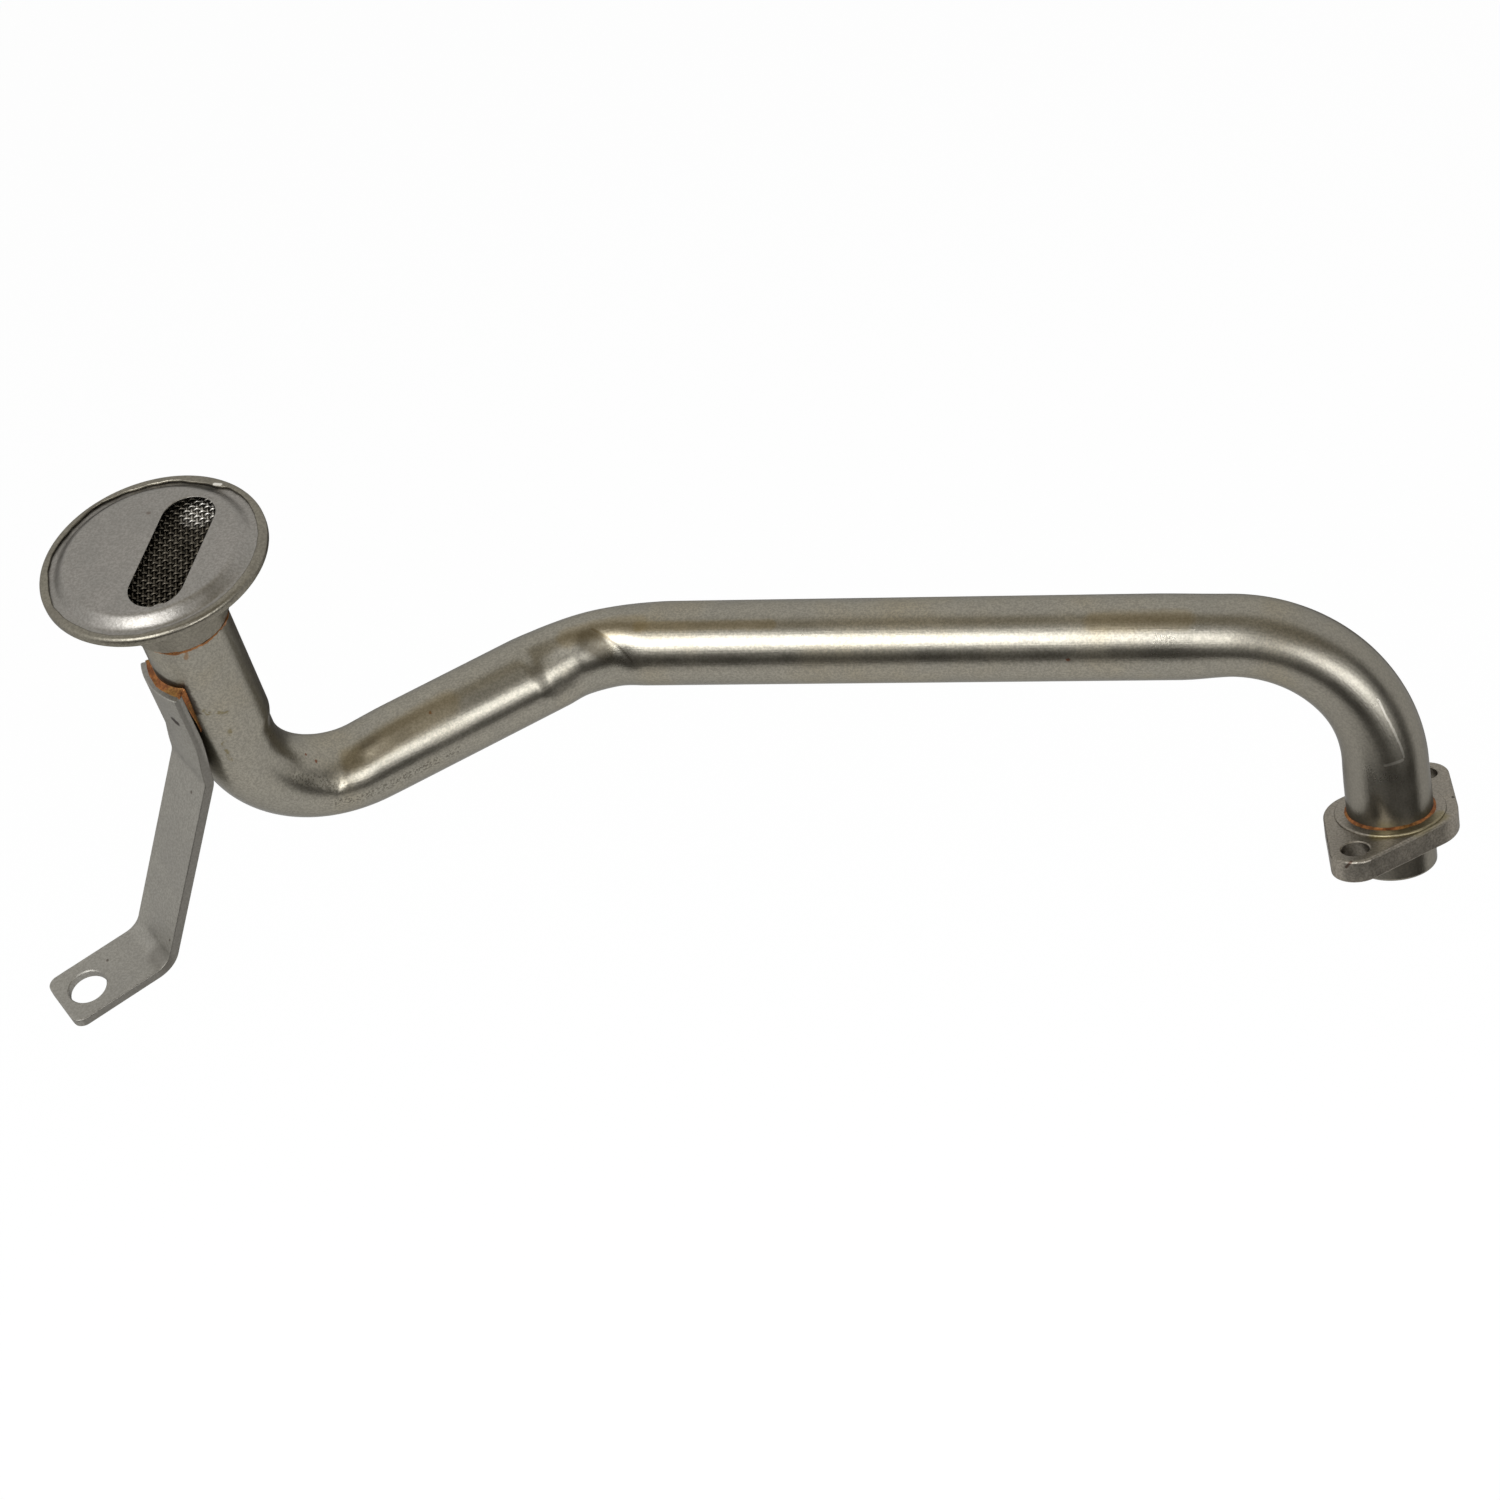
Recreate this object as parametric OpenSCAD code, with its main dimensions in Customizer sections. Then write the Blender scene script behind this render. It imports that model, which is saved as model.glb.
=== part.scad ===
// Oil pickup tube: a bent steel tube with a two-bolt flange at the pump end,
// a crimped strainer bell at the inlet and a strap bracket brazed to its neck.
// The origin is the middle of the flange's seating face, with +Z up the pump port's axis.

/* [Tube] */
// Outside diameter of the tube
tube_od = 22.2; // [18:0.1:26]
// Wall of the tube
tube_wall = 1.5; // [1:0.1:2.5]
// Spigot below the flange's seating face
spigot_len = 9; // [5:0.5:16]
// How far the spigot is drawn in to fit the pump's port
spigot_draw = 0.2; // [0.2:0.05:0.5]
// Bevel round the spigot's end
spigot_edge = 0.8; // [0.3:0.1:0.9]
// Straight leg from the seating face to the first bend
leg_len = 21.3; // [16:0.1:60]
// Straight run between the first and second bends
run_len = 150.6; // [80:0.1:240]
// Straight link between the second and third bends
link_len = 52.5; // [30:0.1:120]
// Straight neck from the third bend to the tube's open end
neck_len = 50.5; // [48:0.1:90]

/* [Bends] */
// Centreline radius of the first bend
bend1_r = 40; // [30:0.5:60]
// Angle of the first bend
bend1_angle = 83.9; // [60:0.1:110]
// Direction of the first bend round the flange's axis
bend1_roll = 180; // [150:1:210]
// Centreline radius of the second bend
bend2_r = 46; // [30:0.5:60]
// Angle of the second bend
bend2_angle = 33.8; // [15:0.1:60]
// Roll of the tube before the second bend
bend2_roll = 63.5; // [40:0.5:90]
// Centreline radius of the third bend
bend3_r = 28.5; // [24:0.5:45]
// Angle of the third bend
bend3_angle = 91.5; // [70:0.1:110]
// Roll of the tube before the third bend
bend3_roll = 95.3; // [75:0.1:115]

/* [Pump flange] */
// Thickness of the flange plate
flange_t = 6.3; // [4:0.1:9]
// Width of the plate across its two shoulders
flange_w = 34.4; // [32:0.1:44]
// Radius of the plate's shoulders
shoulder_r = 12; // [8:0.5:15]
// Radius of the lobes round the bolt holes
lobe_r = 6.6; // [5:0.1:9]
// Distance between the two bolt holes
bolt_spacing = 41.6; // [40:0.1:56]
// Diameter of a bolt hole
bolt_hole_d = 7.2; // [5:0.1:9]
// Direction of the bolt line round the flange's axis
bolt_clock = 62; // [40:1:90]
// Width of the raised land round the tube
land_w = 3.2; // [1.5:0.1:3.5]
// Height of the raised land
land_h = 0.6; // [0.3:0.1:1.5]

/* [Strainer bell] */
// Sheet thickness of the bell
bell_sheet = 0.7; // [0.5:0.1:1]
// Lap of the hem over the cover, inside its round fold
hem_lap = 1; // [0.5:0.1:3]
// Flat left between the hem and the cover's step
hem_gap = 1.2; // [0.5:0.1:3]
// Flat under the hem, from the funnel to the round fold
shelf_w = 3.8; // [2:0.1:6]
// Depth of the funnel from the tube's end to the flat
funnel_h = 10.9; // [6:0.1:20]
// Length of the collar round the tube
collar_len = 7.5; // [4:0.1:12]

/* [Strainer cover] */
// Sheet thickness of the cover
cover_sheet = 0.7; // [0.5:0.1:1]
// Radius of the flat plateau
plateau_r = 21.2; // [20:0.1:30]
// Width of the step round the plateau
step_w = 2.9; // [1.5:0.1:5]
// Rise of the plateau above the cover's edge
step_h = 2.3; // [1:0.1:4]
// Length of the inlet slot
slot_len = 36; // [20:0.5:38]
// Width of the inlet slot
slot_w = 13.4; // [8:0.1:14]
// Distance of the slot from the bell's axis
slot_offset = 5.5; // [0:0.1:6]
// Direction of the slot's offset round the bell's axis
slot_clock = -38.6; // [-90:0.1:0]

/* [Strainer screen] */
// Thickness of the woven wire screen
screen_t = 0.5; // [0.3:0.1:1]
// Spacing of the screen's wires
wire_pitch = 2; // [2:0.1:3]
// Width of a wire
wire_w = 0.8; // [0.5:0.1:1.2]
// Stand of each wire out of the screen's middle
wire_stand = 0.25; // [0.1:0.05:0.3]

/* [Support bracket] */
// Width of the strap
strap_w = 18; // [12:0.5:22]
// Thickness of the strap
strap_t = 2.6; // [1.5:0.1:4]
// Distance from the bell's collar to the saddle's top edge
saddle_gap = 14; // [8:0.1:16]
// Length of the saddle from its top edge to the strap's first corner
saddle_len = 29.7; // [24:0.1:40]
// Radius of the formed saddle at mid-thickness
saddle_r = 20; // [15:0.5:30]
// Length over which the saddle opens out, down to the strap's first bend
ease_len = 14; // [8:0.5:18]
// Length of the strap between its two corners
strap_len = 56.4; // [40:0.1:80]
// Angle that the strap leaves the neck at
strap_angle = 31; // [15:0.5:50]
// Length of the foot from the second corner to its end
foot_len = 27.9; // [24:0.1:40]
// Radius of the strap's first bend at mid-thickness
strap_bend_r = 5; // [4:0.5:10]
// Radius of the foot's bend at mid-thickness
foot_bend_r = 7; // [4:0.5:10]
// Radius of the foot's corners
foot_corner_r = 3; // [1:0.1:6]
// Diameter of the foot's bolt hole
foot_hole_d = 10; // [6:0.1:12]
// Distance of the hole from the foot's end
foot_hole_edge = 7.9; // [7:0.1:12]
// Direction of the bracket round the neck
bracket_clock = 189.3; // [150:0.1:230]

/* [Brazed joints] */
// Gap between the tube and what is brazed to it
braze_gap = 0.1; // [0.05:0.05:0.3]
// Leg of the braze fillet on the flange
flange_fillet = 1; // [0.5:0.1:2]
// Leg of the braze fillet under the collar
bell_fillet = 0.7; // [0.3:0.1:1.5]
// Leg of the braze fillet round the saddle
saddle_fillet = 1.2; // [0.5:0.1:2]

/* [Hidden] */
$fn = 96;
steel = "#8f8c86";
bright_steel = "#a6a39c";
copper = "#b0713f";

tube_r = tube_od / 2;
bore_r = tube_r - tube_wall;
spigot_r = tube_r - spigot_draw;
// Allowance that carries a cut clear of the solid that it cuts
clear = tube_wall;
// Thinning of the wall on each face in the bends, and the die mark where a straight laps a bend
bend_draw = tube_wall / 30;
bend_lap = tube_wall / 5;
sleeve_r = tube_r + braze_gap;
// Steps of the drawn curves in the bell and the cover
curve_steps = 12;

collar_r = sleeve_r + bell_sheet;
screen_z = funnel_h + bell_sheet;
cover_z = screen_z + screen_t;
lip_z = cover_z + cover_sheet;
rim_h = lip_z + bell_sheet - funnel_h;
// Radii outwards: foot of the step, hem's edge, middle of its round fold
step_r = plateau_r + step_w;
lip_r = step_r + hem_gap;
fold_r = lip_r + hem_lap;
funnel_r = fold_r - shelf_w;
// Edge of what the hem holds
held_r = fold_r - braze_gap;

// Places children at the end of a straight length
module past_straight(len) {
    translate([0, 0, len]) children();
}

// Places children at the end of a bend that turns towards +X
module past_bend(r, angle, roll = 0) {
    rotate([0, 0, roll]) translate([r, 0, 0]) rotate([0, angle, 0]) translate([-r, 0, 0]) children();
}

// Sweeps a section through a bend that turns towards +X
module bend(r, angle, roll = 0) {
    rotate([0, 0, roll]) translate([r, 0, 0]) rotate([90, 0, 0]) rotate([0, 0, 180 - angle])
        rotate_extrude(angle = angle) translate([r, 0]) children();
}

// A straight stretch of the tube from one height to another
module tube_straight(from, to) {
    translate([0, 0, from]) difference() {
        cylinder(h = to - from, r = tube_r);
        translate([0, 0, -clear]) cylinder(h = to - from + 2 * clear, r = bore_r);
    }
}

// The sized spigot and the straight leg that rises through the flange
module tube_leg() {
    top = leg_len + bend_lap;
    bevel = min(spigot_edge, tube_wall - spigot_draw);
    rotate_extrude() polygon([
        [bore_r, -spigot_len],
        [spigot_r - bevel, -spigot_len],
        [spigot_r, bevel - spigot_len],
        [spigot_r, 0],
        [tube_r, 0],
        [tube_r, top],
        [bore_r, top],
    ]);
}

// The tube's section in its bends, where the drawn wall is a little thinner
module bend_section() {
    difference() {
        circle(tube_r - bend_draw);
        circle(bore_r + bend_draw);
    }
}

// Places children at the tube's open end, with +Z out of the tube
module at_tube_end() {
    past_straight(leg_len) past_bend(bend1_r, bend1_angle, bend1_roll)
        past_straight(run_len) past_bend(bend2_r, bend2_angle, bend2_roll)
            past_straight(link_len) past_bend(bend3_r, bend3_angle, bend3_roll)
                past_straight(neck_len) children();
}

module pickup_tube() {
    color(steel) {
        tube_leg();
        past_straight(leg_len) {
            bend(bend1_r, bend1_angle, bend1_roll) bend_section();
            past_bend(bend1_r, bend1_angle, bend1_roll) {
                tube_straight(-bend_lap, run_len + bend_lap);
                past_straight(run_len) {
                    bend(bend2_r, bend2_angle, bend2_roll) bend_section();
                    past_bend(bend2_r, bend2_angle, bend2_roll) {
                        tube_straight(-bend_lap, link_len + bend_lap);
                        past_straight(link_len) {
                            bend(bend3_r, bend3_angle, bend3_roll) bend_section();
                            past_bend(bend3_r, bend3_angle, bend3_roll)
                                tube_straight(-bend_lap, neck_len);
                        }
                    }
                }
            }
        }
    }
}

// Discs that the flange's outline wraps, anticlockwise, each [x, y, radius]
shoulder_x = flange_w / 2 - shoulder_r;
bolt_x = bolt_spacing / 2 * cos(bolt_clock);
bolt_y = bolt_spacing / 2 * sin(bolt_clock);
flange_discs = [
    [shoulder_x, 0, shoulder_r],
    [bolt_x, bolt_y, lobe_r],
    [-shoulder_x, 0, shoulder_r],
    [-bolt_x, -bolt_y, lobe_r],
];

// Direction from each disc's middle to where the line to the next disc touches it
function touch_angle(a, b) =
    atan2(b.y - a.y, b.x - a.x) - acos((a.z - b.z) / norm([b.x - a.x, b.y - a.y]));
function touch_point(disc, angle) = [disc.x + disc.z * cos(angle), disc.y + disc.z * sin(angle)];

module flange_outline() {
    count = len(flange_discs);
    polygon([
        for (i = [0 : count - 1])
            let (a = flange_discs[i], b = flange_discs[(i + 1) % count], angle = touch_angle(a, b))
                each [touch_point(a, angle), touch_point(b, angle)]
    ]);
    for (disc = flange_discs) translate([disc.x, disc.y]) circle(disc.z);
}

module pump_flange() {
    color(steel) difference() {
        union() {
            linear_extrude(flange_t) flange_outline();
            cylinder(h = flange_t + land_h, r = tube_r + land_w);
        }
        translate([0, 0, -clear]) cylinder(h = flange_t + land_h + 2 * clear, r = sleeve_r);
        for (side = [1, -1])
            translate([side * bolt_x, side * bolt_y, -clear])
                cylinder(h = flange_t + 2 * clear, d = bolt_hole_d);
    }
}

// The funnel's outer line from the collar, t = 0, to the flat, t = 1
function funnel_point(t) =
    [collar_r + (funnel_r - collar_r) * (1 - cos(180 * t)) / 2, funnel_h * t];
// The same line moved in by the sheet's thickness
function funnel_inner(t) =
    let (slope = [(funnel_r - collar_r) * PI * sin(180 * t) / 2, funnel_h])
        funnel_point(t) + bell_sheet * [-slope.y, slope.x] / norm(slope);

// Collar, funnel and flat as one wall
module bell_wall() {
    polygon([
        [collar_r, -collar_len],
        for (i = [0 : curve_steps]) funnel_point(i / curve_steps),
        [fold_r, funnel_h],
        [fold_r, screen_z],
        [funnel_r - bell_sheet, screen_z],
        for (i = [curve_steps : -1 : 0]) funnel_inner(i / curve_steps),
        [sleeve_r, -collar_len],
    ]);
}

// The edge rolled over the screen and the cover
module bell_hem() {
    intersection() {
        translate([fold_r, funnel_h + rim_h / 2]) difference() {
            circle(rim_h / 2);
            circle(rim_h / 2 - bell_sheet);
        }
        translate([fold_r, funnel_h]) square([rim_h, rim_h]);
    }
    translate([lip_r, lip_z]) square([fold_r - lip_r, bell_sheet]);
}

module strainer_bell() {
    color(steel) at_tube_end() rotate_extrude() {
        bell_wall();
        bell_hem();
    }
}

// The slot's round-ended outline, in line with the bell's axis
module slot_outline() {
    rotate(slot_clock) translate([slot_offset, 0]) {
        square([slot_w, slot_len - slot_w], center = true);
        for (side = [1, -1])
            translate([0, side * (slot_len - slot_w) / 2]) circle(slot_w / 2);
    }
}

// How far a point lies from the slot's middle line
function slot_reach(p) = norm([p.x, max(abs(p.y) - (slot_len - slot_w) / 2, 0)]);

// Gaps between the wires that show through the slot
gap_w = wire_pitch - wire_w;
gap_cols = floor(slot_w / 2 / wire_pitch);
gap_rows = floor(slot_len / 2 / wire_pitch);
// Cross wires up to halfway round the slot's ends
cross_rows = floor((slot_len - slot_w / 2) / 2 / wire_pitch);
screen_gaps = [
    for (col = [-gap_cols : gap_cols], row = [-gap_rows : gap_rows])
        let (p = wire_pitch * [col, row])
            if (slot_reach(p) + gap_w / 2 < slot_w / 2) p
];

module strainer_screen() {
    color(steel) at_tube_end() difference() {
        union() {
            translate([0, 0, screen_z]) cylinder(h = screen_t, r = held_r);
            translate([0, 0, screen_z + screen_t / 2]) rotate(slot_clock) translate([slot_offset, 0]) {
                // Long wires stand up and cross wires stand down
                for (col = [-gap_cols - 0.5 : gap_cols + 0.5])
                    translate([wire_pitch * col - wire_w / 2, -(slot_len - slot_w) / 2, 0])
                        cube([wire_w, slot_len - slot_w, screen_t / 2 + wire_stand]);
                for (row = [0.5 - cross_rows : cross_rows - 0.5])
                    translate([-slot_w / 2, wire_pitch * row - wire_w / 2, -screen_t / 2 - wire_stand])
                        cube([slot_w, wire_w, screen_t / 2 + wire_stand]);
            }
        }
        translate([0, 0, screen_z - clear]) rotate(slot_clock) translate([slot_offset, 0])
            for (p = screen_gaps)
                translate([p.x - gap_w / 2, p.y - gap_w / 2, 0])
                    cube([gap_w, gap_w, screen_t + 2 * clear]);
    }
}

// The cover's upper line from its edge, t = 0, up to the plateau, t = 1
function step_point(t) =
    [step_r - (step_r - plateau_r) * t, lip_z + step_h * (1 - cos(180 * t)) / 2];
// The same line moved down by the sheet's thickness
function step_inner(t) =
    let (slope = [plateau_r - step_r, step_h * PI * sin(180 * t) / 2])
        step_point(t) + cover_sheet * [-slope.y, slope.x] / norm(slope);

module strainer_cover() {
    color(bright_steel) at_tube_end() difference() {
        rotate_extrude() polygon([
            [0, lip_z + step_h - cover_sheet],
            for (i = [curve_steps : -1 : 0]) step_inner(i / curve_steps),
            [held_r, cover_z],
            [held_r, lip_z],
            for (i = [0 : curve_steps]) step_point(i / curve_steps),
            [0, lip_z + step_h],
        ]);
        translate([0, 0, cover_z - clear]) linear_extrude(step_h + cover_sheet + 2 * clear) slot_outline();
    }
}

// Middle of the strap's thickness where it lies on the tube
strap_r = sleeve_r + strap_t / 2;
foot_angle = 90 - strap_angle;
strap_cut = strap_bend_r * tan(strap_angle / 2);
foot_cut = foot_bend_r * tan(foot_angle / 2);
hug_len = saddle_len - strap_cut;
// How far the flat strap runs back into the saddle, and how far it lies inside it there
strap_lap = strap_t / 8;
strap_inset = strap_t / 130;
hug_steps = 8;
turn_steps = 8;
across_steps = 12;

// Stations down the saddle: [x, z, lean, length left to the end of the first bend]
turn_len = strap_bend_r * strap_angle * PI / 180;
saddle_stations = [
    for (i = [0 : hug_steps])
        let (s = hug_len - ease_len * (hug_steps - i) / hug_steps, z = i == 0 ? 0 : s)
            [strap_r, z, 0, hug_len + turn_len - z],
    for (i = [1 : turn_steps])
        let (lean = strap_angle * i / turn_steps)
            [
                strap_r + strap_bend_r * (1 - cos(lean)),
                hug_len + strap_bend_r * sin(lean),
                lean,
                turn_len * (1 - i / turn_steps),
            ],
];

// How much of the saddle's curve the strap still has at a station, 1 on the saddle and 0 at the strap
function hug_share(left) = (1 - cos(180 * min(left / (ease_len + turn_len), 1))) / 2;

// A point on the strap's face: across runs along its width, side is +1 outside and -1 on the tube's side
function saddle_point(station, across, side) =
    let (
        share = hug_share(station[3]),
        turn = across / saddle_r * share * 180 / PI,
        wide = share > 0 ? saddle_r / share * sin(turn) : across,
        sag = share > 0 ? saddle_r / share * (1 - cos(turn)) : 0,
        out = side * strap_t / 2 * cos(turn) - sag,
        along = side * strap_t / 2 * sin(turn)
    )
        [station[0] + out * cos(station[2]), wide + along, station[1] - out * sin(station[2])];

// One closed ring of points round the strap at a station
function saddle_ring(station) = [
    for (i = [0 : across_steps]) saddle_point(station, strap_w * (i / across_steps - 0.5), 1),
    for (i = [across_steps : -1 : 0]) saddle_point(station, strap_w * (i / across_steps - 0.5), -1),
];

// The saddle lofted from a curve round the tube to a flat strap
module saddle() {
    ring = 2 * (across_steps + 1);
    last = len(saddle_stations) - 1;
    polyhedron(
        points = [for (station = saddle_stations) each saddle_ring(station)],
        faces = [
            for (i = [0 : across_steps - 1])
                each [[i, i + 1, ring - 2 - i], [i, ring - 2 - i, ring - 1 - i]],
            for (j = [0 : last - 1], i = [0 : ring - 1])
                let (a = j * ring + i, b = j * ring + (i + 1) % ring)
                    each [[a, a + ring, b], [b, a + ring, b + ring]],
            for (i = [0 : across_steps - 1])
                each [
                    [last * ring + i, last * ring + ring - 2 - i, last * ring + i + 1],
                    [last * ring + i, last * ring + ring - 1 - i, last * ring + ring - 2 - i],
                ],
        ]
    );
}

// Directions along the strap and out of its upper face, in side view, at a lean from the neck
function lean_way(lean) = [sin(lean), cos(lean)];
function lean_out(lean) = [cos(lean), -sin(lean)];

// Middle line of the flat strap and its foot in side view: [point, lean]
strap_from = [strap_r, hug_len] + strap_bend_r * ([1, 0] - lean_out(strap_angle));
strap_to = strap_from + (strap_len - strap_cut - foot_cut) * lean_way(strap_angle);
foot_centre = strap_to + foot_bend_r * lean_out(strap_angle);
foot_end = foot_centre + [foot_len - foot_cut, foot_bend_r];
strap_line = [
    [strap_from - strap_lap * lean_way(strap_angle), strap_angle],
    for (i = [0 : turn_steps])
        let (lean = strap_angle + foot_angle * i / turn_steps)
            [foot_centre - foot_bend_r * lean_out(lean), lean],
    [foot_end, 90],
];

// The strap and foot seen from the side
module strap_profile() {
    half = strap_t / 2 - strap_inset;
    last = len(strap_line) - 1;
    polygon([
        for (i = [0 : last]) strap_line[i][0] + half * lean_out(strap_line[i][1]),
        for (i = [last : -1 : 0]) strap_line[i][0] - half * lean_out(strap_line[i][1]),
    ]);
}

// What is cut from the foot: its bolt hole and its two sharp corners
module foot_cuts() {
    half_w = strap_w / 2 - strap_inset;
    translate([foot_end.x, 0, foot_end.y - strap_t]) {
        translate([-foot_hole_edge, 0, 0]) cylinder(h = 2 * strap_t, d = foot_hole_d);
        for (side = [1, -1])
            translate([-foot_corner_r, side * (half_w - foot_corner_r), 0]) difference() {
                translate([0, side > 0 ? 0 : -foot_corner_r - clear, 0])
                    cube([foot_corner_r + clear, foot_corner_r + clear, 2 * strap_t]);
                translate([0, 0, -clear]) cylinder(h = 2 * strap_t + 2 * clear, r = foot_corner_r);
            }
    }
}

// Places children at the saddle's top edge, with +Z down the neck and +X away from the tube
module at_saddle() {
    at_tube_end() rotate([0, 0, bracket_clock]) rotate([180, 0, 0])
        translate([0, 0, collar_len + saddle_gap]) children();
}

module support_bracket() {
    color(steel) at_saddle() {
        saddle();
        difference() {
            rotate([90, 0, 0]) linear_extrude(strap_w - 2 * strap_inset, center = true) strap_profile();
            foot_cuts();
        }
    }
}

// A fillet's section in the corner between the tube and a face square to it
module fillet_section(leg) {
    polygon([[tube_r, 0], [tube_r + leg, 0], [tube_r, leg]]);
}

module flange_braze() {
    color(copper) translate([0, 0, flange_t + land_h]) rotate_extrude() fillet_section(flange_fillet);
}

module bell_braze() {
    color(copper) at_tube_end() translate([0, 0, -collar_len]) mirror([0, 0, 1])
        rotate_extrude() fillet_section(bell_fillet);
}

// Angle from the saddle's middle to its side edges, and to where its gap on the tube opens
saddle_half = strap_w / saddle_r * 90 / PI;
film_half = saddle_half / 2;
// How far the side beads lie inside the saddle's face and inside the top bead that they run out of
bead_drop = saddle_fillet / 24;
bead_turn = bead_drop / saddle_r * 180 / PI;

// Turns a section about the saddle's own axis from one angle to another
module about_saddle(from, to) {
    translate([strap_r - saddle_r, 0, 0]) rotate(from) rotate_extrude(angle = to - from) children();
}

// The bead along the saddle's top edge, and the wedges that it fills between the saddle's sides and the tube
module bracket_braze() {
    root_r = saddle_r - strap_r;
    face_r = saddle_r - strap_t / 2;
    side_len = hug_len - ease_len;
    color(copper) at_saddle() difference() {
        union() {
            about_saddle(-saddle_half, saddle_half) polygon([
                [root_r, -saddle_fillet],
                [face_r, -saddle_fillet],
                [face_r + saddle_fillet, 0],
                [root_r, 0],
            ]);
            for (from = [film_half, bead_turn - saddle_half])
                about_saddle(from, from + saddle_half - film_half - bead_turn)
                    translate([root_r + bead_drop, -saddle_fillet / 2])
                        square([face_r - root_r - 2 * bead_drop, side_len + saddle_fillet / 2]);
        }
        translate([0, 0, -2 * saddle_fillet]) cylinder(h = side_len + 3 * saddle_fillet, r = tube_r);
    }
}

pickup_tube();
pump_flange();
strainer_bell();
strainer_screen();
strainer_cover();
support_bracket();
flange_braze();
bell_braze();
bracket_braze();
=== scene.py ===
import math

import bmesh
import bpy
import numpy as np
from mathutils import Matrix, Vector, noise


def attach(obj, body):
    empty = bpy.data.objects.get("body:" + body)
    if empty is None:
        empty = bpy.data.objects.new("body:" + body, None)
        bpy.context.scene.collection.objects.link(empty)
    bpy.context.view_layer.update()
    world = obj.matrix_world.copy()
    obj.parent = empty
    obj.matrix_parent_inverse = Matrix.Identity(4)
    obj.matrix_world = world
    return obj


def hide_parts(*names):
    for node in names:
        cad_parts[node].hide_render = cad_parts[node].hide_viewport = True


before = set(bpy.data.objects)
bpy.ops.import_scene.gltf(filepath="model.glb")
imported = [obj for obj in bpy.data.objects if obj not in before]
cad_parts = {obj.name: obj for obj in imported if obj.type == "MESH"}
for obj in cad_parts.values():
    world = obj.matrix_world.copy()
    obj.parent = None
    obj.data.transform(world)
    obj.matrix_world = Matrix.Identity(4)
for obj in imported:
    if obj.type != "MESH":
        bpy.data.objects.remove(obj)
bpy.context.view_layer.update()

# Oil tube
# One length of cold-drawn steel tube. Its three bends were pressed between dies, so each is flattened and
# has a die mark at both ends. The spigot below the flange is drawn in and its end is rounded.
tube_r = 0.0111
tube_wall = 0.0015
tube_sides = 80
spigot_len = 0.009
spigot_draw = 0.0002
spigot_edge = 0.0008
straights = [spigot_len + 0.0213, 0.1506, 0.0525, 0.0505]
# Each bend: radius of its middle line, angle, and roll of the tube before it
bends = [(0.040, 83.9, 180.0), (0.046, 33.8, 63.5), (0.0285, 91.5, 95.3)]
# Die marks at each bend's two ends: how long the mark is, how far it lies past the bend's end, its slant
die_marks = [
    ((0.030, 0.008, 0.0), (0.014, 0.012, 0.0)),
    ((0.010, 0.0, 0.0), (0.008, 0.0, 0.0)),
    ((0.016, 0.004, -0.5), (0.0045, 0.008, 0.0)),
]
# How far the dies press each bend's inside and outside, as shares of the radius; the outside starts earlier
press_shares = [(0.085, 0.04), (0.085, 0.11), (0.085, 0.04)]
press_early = 0.007
# How fast the pressing fades round the section, and how far the sides bulge for it
press_fade, press_bulge = 1.5, 0.015
# The crease before the third bend, in unrolled places along and round the tube: its two ends, its depth, its
# step's width and how far the hollow behind it runs
crease_start, crease_end = (0.3225, 0.0645), (0.3318, 0.0510)
crease_depth, crease_step, crease_hollow = 0.00030, 0.0012, 0.012
# The kink that the die's near edge left on the second bend: its ends, its depth, its reach before and after
kink_start, kink_end = (0.2550, 0.0655), (0.2420, 0.0519)
kink_depth, kink_before, kink_after = 0.00045, 0.008, 0.014
# The soft hollow that its far edge left, in the same terms
hollow_start, hollow_end = (0.2702, 0.0650), (0.2680, 0.0475)
hollow_depth, hollow_before, hollow_after = 0.00080, 0.012, 0.0048
# The share of its length over which each of them fades at its ends
crease_fade, kink_fade, hollow_fade = 0.15, 0.2, 0.2


def after_straight(place, length):
    """The place at the end of a straight length."""
    return place @ Matrix.Translation((0, 0, length))


def after_bend(place, radius, angle, roll):
    """The place at the end of a bend that turns towards +X after the roll."""
    turn = Matrix.Translation((radius, 0, 0)) @ Matrix.Rotation(math.radians(angle), 4, "Y")
    return place @ Matrix.Rotation(math.radians(roll), 4, "Z") @ turn @ Matrix.Translation((-radius, 0, 0))


def smooth(low, high, value):
    """Rises from 0 at low to 1 at high with a soft start and end."""
    share = np.clip((value - low) / (high - low), 0, 1)
    return share * share * (3 - 2 * share)


def steps_along(length, first):
    """Distances along a straight: close together near its two ends and wide apart between."""
    start, near = 0.001, 0.009
    close, wide = 0.0006, 0.0026
    marks = [0.0]
    while marks[-1] < length:
        at = marks[-1]
        by_an_end = at < near or at > length - near
        step = first if at < start else close if by_an_end else wide
        marks.append(at + step)
    return [mark for mark in marks if mark < length - 0.0001]


# Stations along the tube's middle line, each with its place and its distance
first_steps = [0.0001, 0.0006, 0.0006, 0.0006]
bend_step = 0.0007
stations = []
bend_spans = []
place = Matrix.Translation((0, 0, -spigot_len))
travelled = 0.0
for index, length in enumerate(straights):
    for mark in steps_along(length, first_steps[index]):
        stations.append((after_straight(place, mark), travelled + mark))
    place = after_straight(place, length)
    travelled += length
    if index < len(bends):
        radius, angle, roll = bends[index]
        arc = radius * math.radians(angle)
        count = round(arc / bend_step)
        for step in range(count):
            share = step / count
            stations.append((after_bend(place, radius, angle * share, roll), travelled + arc * share))
        entry = (place @ Matrix.Rotation(math.radians(roll), 4, "Z")).to_3x3()
        bend_spans.append((travelled, travelled + arc, radius, entry))
        place = after_bend(place, radius, angle, roll)
        travelled += arc
stations.append((place, travelled))
tube_end = place


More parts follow.
